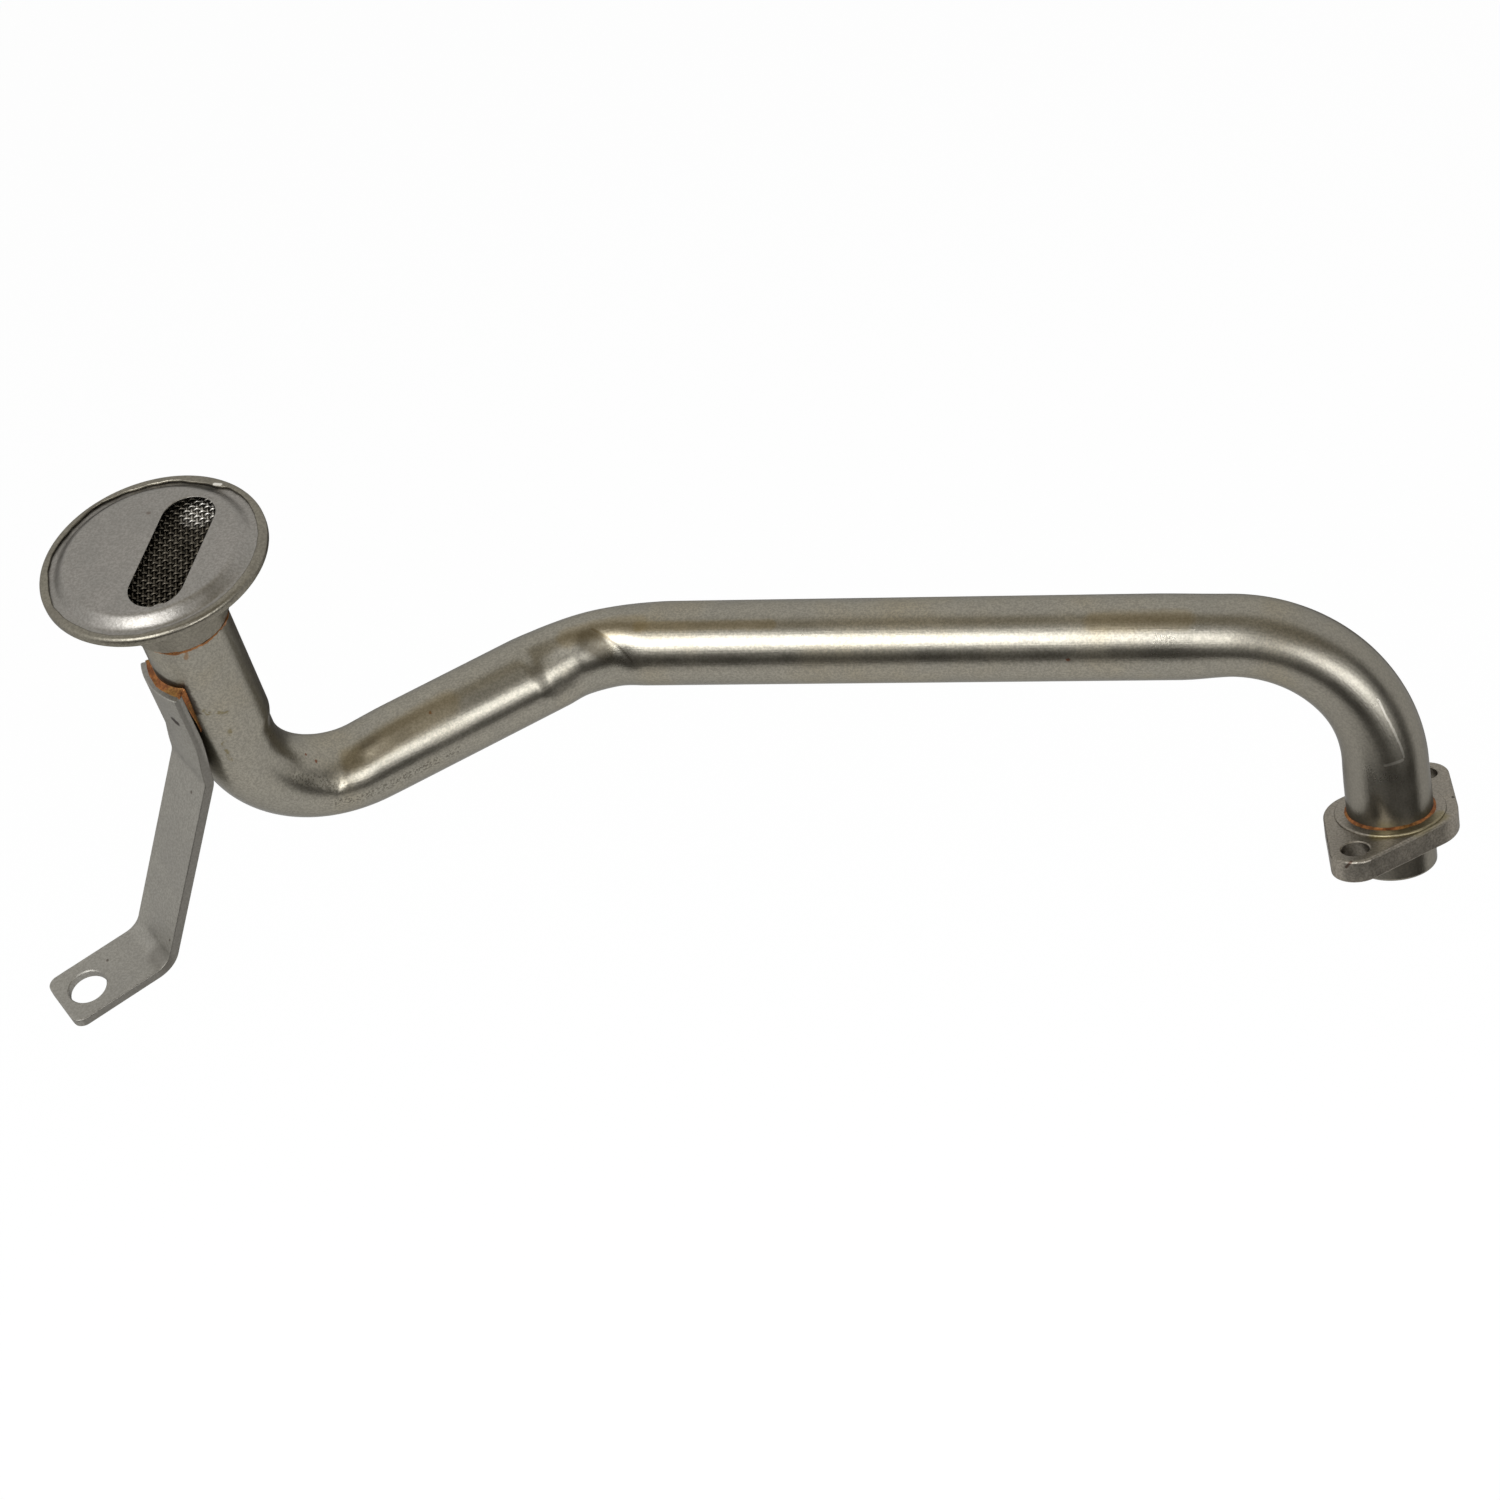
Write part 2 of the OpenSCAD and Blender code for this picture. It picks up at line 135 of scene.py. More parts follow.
def node_tree(name, sizes):
    """An empty Geometry Nodes tree with one geometry in and out and named sizes."""
    tree = bpy.data.node_groups.new(name, "GeometryNodeTree")
    tree.interface.new_socket("Geometry", in_out="INPUT", socket_type="NodeSocketGeometry")
    for label, kind in sizes.items():
        tree.interface.new_socket(label, in_out="INPUT", socket_type="NodeSocket" + kind)
    tree.interface.new_socket("Geometry", in_out="OUTPUT", socket_type="NodeSocketGeometry")
    return tree, tree.nodes.new("NodeGroupInput").outputs, tree.nodes.new("NodeGroupOutput")


def feed(node, key, value):
    """Links an output to a node's input, by the input's name or number."""
    node.id_data.links.new(value, node.inputs[key])


def add_node(kind, inputs=(), tree=None, **settings):
    """Adds a node to the given tree, or else to the tree of the outputs that feed it.

    Inputs map a socket's name or number to a value, or to the output that feeds it.
    """
    inputs = dict(inputs)
    fed = {key: value for key, value in inputs.items() if isinstance(value, bpy.types.NodeSocket)}
    if tree is None:
        tree = next(iter(fed.values())).id_data
    made = tree.nodes.new(kind)
    for key, value in settings.items():
        setattr(made, key, value)
    for key, value in inputs.items():
        if key in fed:
            feed(made, key, value)
        else:
            made.inputs[key].default_value = value
    return made


def set_sizes(modifier, values):
    """Sets a modifier's named inputs by their identifiers."""
    for item in modifier.node_group.interface.items_tree:
        if item.item_type == "SOCKET" and item.in_out == "INPUT" and item.name in values:
            modifier[item.identifier] = values[item.name]


def place_mesh(name, mesh):
    """A new object at the origin that shows the mesh."""
    piece = bpy.data.objects.new(name, mesh)
    bpy.context.scene.collection.objects.link(piece)
    return piece


def plain_mesh(source, name):
    """The evaluated object as a plain mesh in a new object; the source is removed."""
    bpy.context.view_layer.update()
    shaped = source.evaluated_get(bpy.context.evaluated_depsgraph_get())
    mesh = bpy.data.meshes.new_from_object(shaped)
    bpy.data.objects.remove(source)
    mesh.name = name
    return place_mesh(name, mesh)


def soften(piece, angle):
    """Smooth shading, with a sharp edge only where two faces meet at more than the angle."""
    piece.data.shade_smooth()
    piece.data.set_sharp_from_angle(angle=math.radians(angle))


def walled(skin, thickness, name):
    """A skin with a wall grown inwards from it."""
    wall = skin.modifiers.new("wall", "SOLIDIFY")
    wall.thickness = thickness
    wall.offset = -1
    piece = plain_mesh(skin, name)
    soften(piece, 50)
    return piece


def stand_for(piece, node, finish):
    """The piece takes the node's place on the part's one body."""
    piece.data.materials.clear()
    piece.data.materials.append(finish)
    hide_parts(node)
    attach(piece, "root")


def end_tree(shape, finish, out):
    """Ends a tree: what it made becomes real geometry in its finish."""
    real = add_node("GeometryNodeRealizeInstances", {"Geometry": shape.outputs[0]})
    dressed = add_node("GeometryNodeSetMaterial", {"Geometry": real.outputs[0], "Material": finish})
    feed(out, 0, dressed.outputs[0])


def sweep_tree():
    """Sweeps a round section along the middle line."""
    tree, given, out = node_tree("tube_sweep", {"Radius": "Float", "Sides": "Int", "Finish": "Material"})
    line = add_node("GeometryNodeMeshToCurve", {"Mesh": given["Geometry"]})
    ring = add_node("GeometryNodeCurvePrimitiveCircle", {
        "Radius": given["Radius"],
        "Resolution": given["Sides"],
    })
    swept = add_node("GeometryNodeCurveToMesh", {
        "Curve": line.outputs[0],
        "Profile Curve": ring.outputs[0],
    })
    end_tree(swept, given["Finish"], out)
    return tree


def press_bends(rows, middles, distances):
    """Flattens the tube in its bends, most on the inside, with a die mark at each end."""
    for (start, end, radius, entry), (into, out_of), shares in zip(bend_spans, die_marks, press_shares):
        for index, distance in enumerate(distances):
            turn = min(max(distance - start, 0), end - start) / radius
            section = np.array(entry @ Matrix.Rotation(turn, 3, "Y"))
            offset = rows[index] - middles[index]
            inward, sideways = offset @ section[:, 0] / tube_r, offset @ section[:, 1] / tube_r
            ahead = distance - start + into[1] - into[2] * offset[:, 2]
            left = end - distance + out_of[1] - out_of[2] * offset[:, 2]
            pressed = smooth(0, into[0], ahead) * smooth(0, out_of[0], left)
            early = smooth(-press_early, into[0], ahead) * smooth(-press_early, out_of[0], left)
            inside = shares[0] * np.clip(inward, 0, 1) ** press_fade
            outside = shares[1] * np.clip(-inward, 0, 1) ** press_fade
            scale = 1 - pressed * (inside - press_bulge * sideways**2) - early * outside
            rows[index] = middles[index] + offset * scale[:, None]


def past_line(distances, angles, start, end, fade):
    """How far the skin lies past a line on the unrolled tube, and 1 beside it or 0 beyond its ends."""
    along, arc = np.meshgrid(distances, angles * tube_r, indexing="ij")
    way = np.subtract(end, start)
    length = np.hypot(*way)
    reach, rise = way / length
    share = ((along - start[0]) * reach + (arc - start[1]) * rise) / length
    past = (along - start[0]) * abs(rise) + (arc - start[1]) * reach
    return past, smooth(-fade, fade, share) * smooth(-1 - fade, fade - 1, -share)


def sink(rows, middles, depth):
    """Moves the skin in towards the middle line by a depth for each point."""
    rows -= (rows - middles[:, None]) * (depth / tube_r)[:, :, None]


drawn_steel = bpy.data.materials.new("drawn_steel")
line_mesh = bpy.data.meshes.new("tube_line")
line_points = [place.translation for place, _ in stations]
line_mesh.from_pydata(line_points, [(i, i + 1) for i in range(len(stations) - 1)], [])
tube_line = place_mesh("tube_line", line_mesh)
sweep = tube_line.modifiers.new("sweep", "NODES")
sweep.node_group = sweep_tree()
set_sizes(sweep, {"Radius": tube_r, "Sides": tube_sides, "Finish": drawn_steel})
oil_tube = plain_mesh(tube_line, "oil_tube")

tube_distances = np.array([distance for _, distance in stations])
tube_middles = np.array(line_points)
tube_rows = np.array([v.co for v in oil_tube.data.vertices]).reshape(len(stations), tube_sides, 3)
first_place, _ = stations[0]
turns = [first_place.inverted() @ Vector(point) for point in tube_rows[0]]
round_angles = np.array([math.atan2(point.y, point.x) for point in turns]) % (2 * math.pi)
end_round = spigot_edge * (1 - np.sqrt(1 - np.clip(1 - tube_distances / spigot_edge, 0, 1) ** 2))
narrowed = end_round + spigot_draw * (tube_distances < spigot_len)
sink(tube_rows, tube_middles, narrowed[:, None])
press_bends(tube_rows, tube_middles, tube_distances)
past, beside = past_line(tube_distances, round_angles, crease_start, crease_end, crease_fade)
step = smooth(0, crease_step, past) * smooth(-crease_hollow, -crease_step, -past)
sink(tube_rows, tube_middles, crease_depth * beside * step)
past, beside = past_line(tube_distances, round_angles, kink_start, kink_end, kink_fade)
fold = np.clip(1 + past / kink_before, 0, 1) ** 2 * np.clip(1 - past / kink_after, 0, 1) ** 2
sink(tube_rows, tube_middles, kink_depth * beside * fold)
past, beside = past_line(tube_distances, round_angles, hollow_start, hollow_end, hollow_fade)
dip = smooth(-hollow_before, 0, past) * smooth(-hollow_after, 0, -past)
sink(tube_rows, tube_middles, hollow_depth * beside * dip)
oil_tube.data.vertices.foreach_set("co", tube_rows.ravel())

# Unrolled coordinates in metres: along the tube, and round it from the middle line's own direction
unrolled = oil_tube.data.uv_layers.new(name="unrolled")
for face in oil_tube.data.polygons:
    spots = [oil_tube.data.loops[i].vertex_index for i in face.loop_indices]
    angles = [round_angles[spot % tube_sides] for spot in spots]
    if max(angles) - min(angles) > math.pi:
        angles = [angle + 2 * math.pi if angle < math.pi else angle for angle in angles]
    for i, spot, angle in zip(face.loop_indices, spots, angles):
        unrolled.data[i].uv = (tube_distances[spot // tube_sides], angle * tube_r)
first_face = oil_tube.data.polygons[0]
if first_face.normal.dot(first_face.center - first_place.translation) < 0:
    oil_tube.data.flip_normals()
oil_tube = walled(oil_tube, tube_wall, "oil_tube")


def linear(red, green, blue):
    """A colour given as it is seen on screen, 0 to 255, in the linear values that a shader takes."""
    parts = [c / 255 / 12.92 if c < 10.3 else ((c / 255 + 0.055) / 1.055) ** 2.4 for c in (red, green, blue)]
    return (*parts, 1.0)


def start_finish(material, roughness, metallic=1.0):
    """Gives a material its shader; returns the shader and the places that it is drawn at."""
    material.use_nodes = True
    shader = material.node_tree.nodes["Principled BSDF"]
    shader.inputs["Metallic"].default_value = metallic
    shader.inputs["Specular Tint"].default_value = (0.55, 0.55, 0.55, 1.0)
    shader.inputs["Roughness"].default_value = roughness
    return shader, add_node("ShaderNodeTexCoord", tree=material.node_tree).outputs["Object"]


def stretched(where, scale):
    """The coordinates scaled along each axis."""
    return add_node("ShaderNodeMapping", {"Vector": where, "Scale": scale}).outputs[0]


def mottle(where, scale, detail, roughness=0.6):
    """Soft noise from 0 to 1."""
    made = add_node("ShaderNodeTexNoise", {
        "Vector": where,
        "Scale": scale,
        "Detail": detail,
        "Roughness": roughness,
    })
    return made.outputs["Fac"]


def between(value, low, high, to_low=0.0, to_high=1.0):
    """Maps a value smoothly from one range to another, clamped."""
    made = add_node("ShaderNodeMapRange", {
        "Value": value,
        "From Min": low,
        "From Max": high,
        "To Min": to_low,
        "To Max": to_high,
    }, interpolation_type="SMOOTHSTEP")
    return made.outputs[0]


def maths(operation, *values):
    """Values joined by one operation of a math node."""
    return add_node("ShaderNodeMath", dict(enumerate(values)), operation=operation).outputs[0]


def tinted(amount, under, over):
    """One colour laid over another by an amount."""
    return add_node("ShaderNodeMix", {0: amount, 6: under, 7: over}, data_type="RGBA").outputs[2]


def vector_math(operation, *values, out=0):
    """Vectors joined by one operation of a vector math node."""
    return add_node("ShaderNodeVectorMath", dict(enumerate(values)), operation=operation).outputs[out]


def stroke(where, start, end, width):
    """1 on the line between two places, falling to 0 at the width."""
    firm = 0.4
    begin = Vector(start).to_3d()
    reach = Vector(end).to_3d() - begin
    from_start = vector_math("SUBTRACT", where, begin)
    way = reach / max(reach.length_squared, 1e-12)
    share = vector_math("DOT_PRODUCT", from_start, way, out="Value")
    held = add_node("ShaderNodeClamp", {"Value": share}).outputs[0]
    nearest = vector_math("MULTIPLY", reach, held)
    apart = vector_math("DISTANCE", from_start, nearest, out="Value")
    return between(apart, width * firm, width, 1.0, 0.0)


def trail(where, places, width):
    """Strokes from each place to the next, or one spot."""
    made = stroke(where, places[0], places[min(1, len(places) - 1)], width)
    for begin, end in zip(places[1:], places[2:]):
        made = maths("MAXIMUM", made, stroke(where, begin, end, width))
    return made


def shaken(where, scale, reach):
    """The coordinates moved about by noise, so that what is drawn in them is uneven."""
    wander = add_node("ShaderNodeTexNoise", {"Vector": where, "Scale": scale, "Detail": 2.0})
    centred = vector_math("SUBTRACT", wander.outputs["Color"], (0.5, 0.5, 0.5))
    return vector_math("MULTIPLY_ADD", centred, (reach, reach, reach), where)


def marked(colour, amount, mark, paint):
    """A mark laid over a colour by an amount."""
    return tinted(maths("MULTIPLY", mark, amount), colour, paint)


def streaked(colour, amount, where, places, width, paint):
    """A trail laid over a colour by an amount."""
    return marked(colour, amount, trail(where, places, width), paint)


def bumped(height, distance, under=None):
    """A bump of the given depth, over another one if there is one."""
    inputs = {"Height": height, "Distance": distance, "Strength": 1.0}
    if under is not None:
        inputs["Normal"] = under
    return add_node("ShaderNodeBump", inputs).outputs[0]


# The finish: a satin drawn skin with even grain, long draw lines and a faint warm bloom of old oil. The leg
# is dulled by the heat of the brazing. Marks lie where they were left, in unrolled places.
shader, where = start_finish(drawn_steel, 0.3)
skin = add_node("ShaderNodeUVMap", tree=drawn_steel.node_tree, uv_map="unrolled").outputs[0]
uneven = shaken(skin, 700, 0.0012)
wavy = shaken(skin, 260, 0.0016)
along = add_node("ShaderNodeSeparateXYZ", {0: skin}).outputs[0]
grain = mottle(where, 1600, 2.0, 0.7)
cloud = mottle(where, 60, 4.0)
bloom = mottle(where, 30, 3.0)
lines = mottle(stretched(skin, (14, 2600, 1)), 1.0, 3.0)
colour = tinted(between(cloud, 0.3, 0.7), linear(145, 141, 130), linear(154, 149, 136))
colour = tinted(between(bloom, 0.5, 0.75, 0.0, 0.45), colour, linear(152, 140, 112))
colour = tinted(between(grain, 0.35, 0.65, 0.0, 0.6), colour, linear(114, 110, 101))
colour = tinted(between(lines, 0.55, 0.75, 0.0, 0.25), colour, linear(166, 160, 145))
colour = tinted(between(along, 0.012, 0.115, 0.6, 0.0), colour, linear(112, 108, 100))
# Bright scratches on the first bend, a rubbed line on the third and a dark line of painted shade along the
# second bend's kink
scratch_places = [(0.0508, 0.0579), (0.0470, 0.0574), (0.0432, 0.0571), (0.0352, 0.0574)]
scratch = trail(wavy, scratch_places, 0.00045)
tick = trail(skin, [(0.0345, 0.0522), (0.0346, 0.0569)], 0.0005)
colour = marked(colour, 0.4, maths("MAXIMUM", scratch, tick), linear(214, 209, 198))
rubbed_and_lit_mark = trail(uneven, [(0.3480, 0.0537), (0.3389, 0.0538), (0.3316, 0.0522)], 0.0022)
rubbed_and_lit_mark = maths("MULTIPLY", rubbed_and_lit_mark, between(grain, 0.48, 0.56, 1.0, 0.0))
colour = marked(colour, 0.55, rubbed_and_lit_mark, linear(190, 184, 168))
# Painted shade: a dark line along the second bend's kink
kink_shade_line = [(0.2526, 0.0630), (0.2493, 0.0598), (0.2456, 0.0564), (0.2424, 0.0523)]
colour = streaked(colour, 0.5, skin, kink_shade_line, 0.0005, linear(74, 66, 54))
# Rust specks, warm bands of painted reflection above the highlight, a heat burn that is partly a painted
# dark reflection, stains, a scuff, dirt with painted shade beside the saddle and a drip of copper
for speck in [(0.3403, 0.0594), (0.3444, 0.0607), (0.1289, 0.0514), (0.3006, 0.0606)]:
    colour = streaked(colour, 0.8, uneven, [speck], 0.0007, linear(104, 54, 32))
# Painted reflection: warm bands laid along the tube just above the highlight
warm_reflection_bands = [
    ([(0.3270, 0.0590), (0.2960, 0.0610)], 0.005),
    ([(0.1220, 0.0612), (0.1000, 0.0618)], 0.004),
    ([(0.2600, 0.0625), (0.2400, 0.0625)], 0.004),
    ([(0.2400, 0.0618), (0.2050, 0.0618)], 0.002),
]
for places, width in warm_reflection_bands:
    colour = streaked(colour, 0.3, uneven, places, width, linear(134, 114, 66))
# A brown heat burn left of the second bend's crease, which is partly a painted dark reflection
burn_and_dark_reflection = [(0.2545, 0.0602), (0.2505, 0.0560)]
colour = streaked(colour, 0.5, uneven, burn_and_dark_reflection, 0.0045, linear(82, 72, 52))
patchy = between(mottle(where, 500, 3.0, 0.7), 0.42, 0.58)
stains = [
    [(0.3834, 0.0482), (0.3851, 0.0457), (0.3852, 0.0437), (0.3862, 0.0433)],
    [(0.3775, 0.0470), (0.3763, 0.0464), (0.3735, 0.0443), (0.3679, 0.0443)],
]
for stain in stains:
    mark = maths("MULTIPLY", trail(uneven, stain, 0.0008), patchy)
    colour = marked(colour, 0.55, mark, linear(104, 92, 50))
scuff = trail(uneven, [(0.3330, 0.0478), (0.2990, 0.0480)], 0.0018)
scuff = maths("MULTIPLY", scuff, between(grain, 0.5, 0.58))
colour = marked(colour, 0.5, scuff, linear(70, 65, 54))
# Dark beside the saddle's gap: dirt, with painted shade of the crevice
dirt_and_crevice_shade = [(0.3975, 0.0330), (0.3957, 0.0381), (0.3951, 0.0411), (0.3860, 0.0413)]
colour = streaked(colour, 0.75, uneven, dirt_and_crevice_shade, 0.0015, linear(52, 42, 34))
drip = [(0.4062, 0.0452), (0.4042, 0.0449)]
colour = streaked(colour, 0.6, uneven, drip, 0.0006, linear(128, 92, 56))
feed(shader, "Base Color", colour)
feed(shader, "Roughness", between(cloud, 0.3, 0.7, 0.27, 0.34))
relief = bumped(grain, 0.000025, bumped(lines, 0.00002))
feed(shader, "Normal", relief)
stand_for(oil_tube, "pickup_tube", drawn_steel)

# Pump flange
# Blanked from thick steel plate and tumbled, so its edges are soft. It has two drilled bolt holes and a low
# coined land round the tube, which passes through it and stands out below as the spigot.
flange_t = 0.0063
flange_w, shoulder_r, lobe_r = 0.0344, 0.012, 0.0066
bolt_spacing, bolt_hole_r, bolt_clock = 0.0416, 0.0036, 62
land_r, land_h = 0.0143, 0.0006
sleeve_r = 0.0112
upper_edge, lower_edge = 0.0009, 0.0004
hole_edge = 0.0003
sleeve_edge = 0.0001
flange_steps = 17
bolt_at = bolt_spacing / 2 * Vector((math.cos(math.radians(bolt_clock)), math.sin(math.radians(bolt_clock))))
shoulder_at = Vector((flange_w / 2 - shoulder_r, 0))


def quarter(count):
    """Angles from 0 to a right angle."""
    return [math.pi / 2 * i / count for i in range(count + 1)]


def skin_rows(name, rows, joined=False, caps=False):
    """A mesh of quads over closed rows of points, with its ends joined or capped flat if asked."""
    rows = np.asarray(rows, dtype=float)
    tall, wide = rows.shape[:2]
    faces = []
    for i in range(tall if joined else tall - 1):
        for j in range(wide):
            a, b = i * wide, (i + 1) % tall * wide
            k = (j + 1) % wide
            faces.append((a + j, a + k, b + k, b + j))
    if caps:
        faces.append(tuple(range(wide))[::-1])
        faces.append(tuple(range((tall - 1) * wide, tall * wide)))
    mesh = bpy.data.meshes.new(name)
    mesh.from_pydata(rows.reshape(-1, 3).tolist(), [], faces)
    made = bmesh.new()
    made.from_mesh(mesh)
    bmesh.ops.recalc_face_normals(made, faces=made.faces)
    made.to_mesh(mesh)
    made.free()
    return place_mesh(name, mesh)


def turned(name, profile, steps=96, place=Matrix()):
    """A solid turned about the place's Z from (radius, height) points, with a flat cap at each end."""
    around = [2 * math.pi * step / steps for step in range(steps)]
    rows = [[place @ Vector((radius * math.cos(a), radius * math.sin(a), height)) for a in around]
            for radius, height in profile]
    return skin_rows(name, rows, caps=True)


def flange_ring(inset, height):
    """The outline round the two shoulders and the two lobes, moved in by the inset."""
    discs = [(shoulder_at, shoulder_r), (bolt_at, lobe_r), (-shoulder_at, shoulder_r), (-bolt_at, lobe_r)]
    touches = []
    for (a, a_r), (b, b_r) in zip(discs, discs[1:] + discs[:1]):
        way = b - a
        touches.append(math.atan2(way.y, way.x) - math.acos((a_r - b_r) / way.length))
    ring = []
    for i, (middle, radius) in enumerate(discs):
        swept = (touches[i] - touches[i - 1]) % (2 * math.pi)
        reach = radius - inset
        for angle in np.linspace(touches[i - 1], touches[i - 1] + swept, flange_steps):
            ring.append((middle.x + reach * math.cos(angle), middle.y + reach * math.sin(angle), height))
    return ring


def cut(piece, cutters, operation="DIFFERENCE"):
    """Cuts other solids out of a piece, or joins them to it, and removes them."""
    for cutter in cutters:
        step = piece.modifiers.new("cut", "BOOLEAN")
        step.object = cutter
        step.operation = operation
        step.solver = "EXACT"
    made = plain_mesh(piece, piece.name)
    for cutter in cutters:
        bpy.data.objects.remove(cutter)
    return made


def even_normals(piece):
    """Smooth shading that leaves large flat faces flat."""
    soften(piece, 35)
    weigh = piece.modifiers.new("weigh", "WEIGHTED_NORMAL")
    weigh.keep_sharp = True
    return plain_mesh(piece, piece.name)


def drill(name, radius, low, high, edge, place):
    """A drill with a small cone at both ends, for a hole with broken edges."""
    past = 0.001
    return turned(name, [
        (radius + edge + past, low - past), (radius, low + edge), (radius, high - edge),
        (radius + edge + past, high + past),
    ], 64, place)


flange_rows = []
for a in quarter(4):
    flange_rows.append(flange_ring(lower_edge * (1 - math.sin(a)), lower_edge * (1 - math.cos(a))))
for a in quarter(7):
    below_top = upper_edge * (1 - math.sin(a))
    flange_rows.append(flange_ring(upper_edge * (1 - math.cos(a)), flange_t - below_top))
flange_plate = skin_rows("flange_plate", flange_rows, caps=True)
land_top, land_edge = flange_t + land_h, land_h * 0.8
land_line = [(land_r, flange_t - land_h)]
for a in quarter(5):
    land_line.append((land_r - land_edge * (1 - math.cos(a)), land_top - land_edge * (1 - math.sin(a))))
flange_plate = cut(flange_plate, [turned("land", land_line)], "UNION")
bolt_drills = []
for side in (1, -1):
    bolt_place = Matrix.Translation((*(side * bolt_at), 0))
    bolt_drills.append(drill("bolt_drill", bolt_hole_r, 0, flange_t, hole_edge, bolt_place))
bore_drill = drill("bore_drill", sleeve_r, 0, land_top, sleeve_edge, Matrix())
flange_plate = even_normals(cut(flange_plate, bolt_drills + [bore_drill]))


def grained_steel(name, cloud_scale, cloud_detail, tones, grain_amount, roughs):
    """A finish for plate and sheet: clouds between two tones, and a grain of a third with its bump."""
    finish = bpy.data.materials.new(name)
    shader, where = start_finish(finish, sum(roughs) / 2)
    dark, light, grain_tone = [linear(*tone) for tone in tones]
    fine = mottle(where, 1600, 2.0, 0.7)
    cloud = mottle(where, cloud_scale, cloud_detail)
    colour = tinted(between(cloud, 0.3, 0.7), dark, light)
    colour = tinted(between(fine, 0.35, 0.65, 0.0, grain_amount), colour, grain_tone)
    feed(shader, "Roughness", between(cloud, 0.3, 0.7, *roughs))
    feed(shader, "Normal", bumped(fine, 0.00004))
    return finish, shader, where, colour


# Tumbled plate, with old oil on the land, nicks on two edges and painted shade in the bolt holes
plate_steel, shader, where, colour = grained_steel(
    "plate_steel", 140, 4.0, [(143, 137, 127), (155, 148, 136), (100, 95, 86)], 0.55, (0.36, 0.46))
uneven = shaken(where, 600, 0.001)
land_oil = [(-0.004, -0.0135, 0.007), (0.006, -0.0125, 0.007), (0.0125, -0.006, 0.007)]
colour = streaked(colour, 0.45, uneven, land_oil, 0.003, linear(128, 116, 66))
nick = [(-0.0125, -0.0244, 0.0046), (-0.0111, -0.0245, 0.0061)]
colour = streaked(colour, 0.8, where, nick, 0.0005, linear(66, 44, 34))
colour = streaked(colour, 0.9, where, [(0.0162, 0.0038, 0.0063)], 0.0006, linear(36, 32, 28))
# Painted shade: the bolt holes are darkened inside and just round their edges
near_hole_shade, far_hole_shade = [
    trail(where, [(*at, 0.0), (*at, 0.0055)], bolt_hole_r * 1.12) for at in (-bolt_at, bolt_at)
]
colour = marked(colour, 0.6, maths("MAXIMUM", near_hole_shade, far_hole_shade), linear(58, 52, 46))
feed(shader, "Base Color", colour)
stand_for(flange_plate, "pump_flange", plate_steel)

# Braze on the flange
# Copper that was melted into the joint between the flange and the tube. It ran out into a thin uneven ring
# round the tube, on the land.
# How far the bead runs out over the land, and its height as a share of that
flange_bead, flange_bead_rise = 0.0007, 0.8
bead_steps = 160
bead_hollow = 0.35
bead_sunk = 0.0001


def wavering(angle, speed, seed):
    """A smooth wander from about -1 to 1 round a full turn."""
    return noise.noise(Vector((speed * math.cos(angle), speed * math.sin(angle), seed))) * 1.6


def fillet(foot, up, out, leg_up, leg_out):
    """A hollow fillet in a corner: foot is the corner, up and out are its two faces' directions."""
    section = [foot - out * bead_sunk - up * bead_sunk]
    for a in quarter(6):
        rise = bead_hollow * (1 - math.sin(a)) + (1 - bead_hollow) * math.cos(a) ** 2
        run = bead_hollow * (1 - math.cos(a)) + (1 - bead_hollow) * math.sin(a) ** 2
        section.append(foot + up * leg_up * rise + out * leg_out * run)
    section[1] -= out * bead_sunk
    section[-1] -= up * bead_sunk
    return section


def braze_ring(name, place, height, up, bead, rise, swells):
    """A fillet of copper round the tube; each swell is a share of the bead's size, a speed and a seed."""
    leg_up = bead * rise
    rows = []
    for step in range(bead_steps):
        angle = 2 * math.pi * step / bead_steps
        out = Vector((math.cos(angle), math.sin(angle), 0))
        swell = 1 + sum(share * wavering(angle, speed, seed) for share, speed, seed in swells)
        foot = out * tube_r + Vector((0, 0, height))
        rows.append([place @ point for point in fillet(foot, up, out, leg_up * swell, bead * swell)])
    ring = skin_rows(name, rows, joined=True)
    soften(ring, 60)
    return ring


flange_swells = [(0.35, 2.2, 3.0), (0.12, 9.0, 7.0)]
flange_ring_bead = braze_ring(
    "flange_bead", Matrix(), land_top, Vector((0, 0, 1)), flange_bead, flange_bead_rise, flange_swells)

copper = bpy.data.materials.new("braze_copper")
shader, where = start_finish(copper, 0.3)
grain = mottle(where, 1500, 2.0, 0.7)
cloud = mottle(where, 420, 3.0)
patch = mottle(where, 130, 2.0)
colour = tinted(between(cloud, 0.35, 0.65), linear(120, 76, 50), linear(162, 108, 66))
colour = tinted(between(patch, 0.5, 0.7, 0.0, 0.6), colour, linear(140, 114, 62))
colour = tinted(between(grain, 0.4, 0.65, 0.0, 0.6), colour, linear(88, 56, 38))
# Brighter at the tube's upper end, where the copper lies thin under the bell's collar
colour = streaked(colour, 0.8, where, [tube_end.translation[:]], 0.025, linear(214, 152, 98))
feed(shader, "Base Color", colour)
feed(shader, "Roughness", between(cloud, 0.3, 0.7, 0.32, 0.5))
feed(shader, "Normal", bumped(grain, 0.00006))
stand_for(flange_ring_bead, "flange_braze", copper)

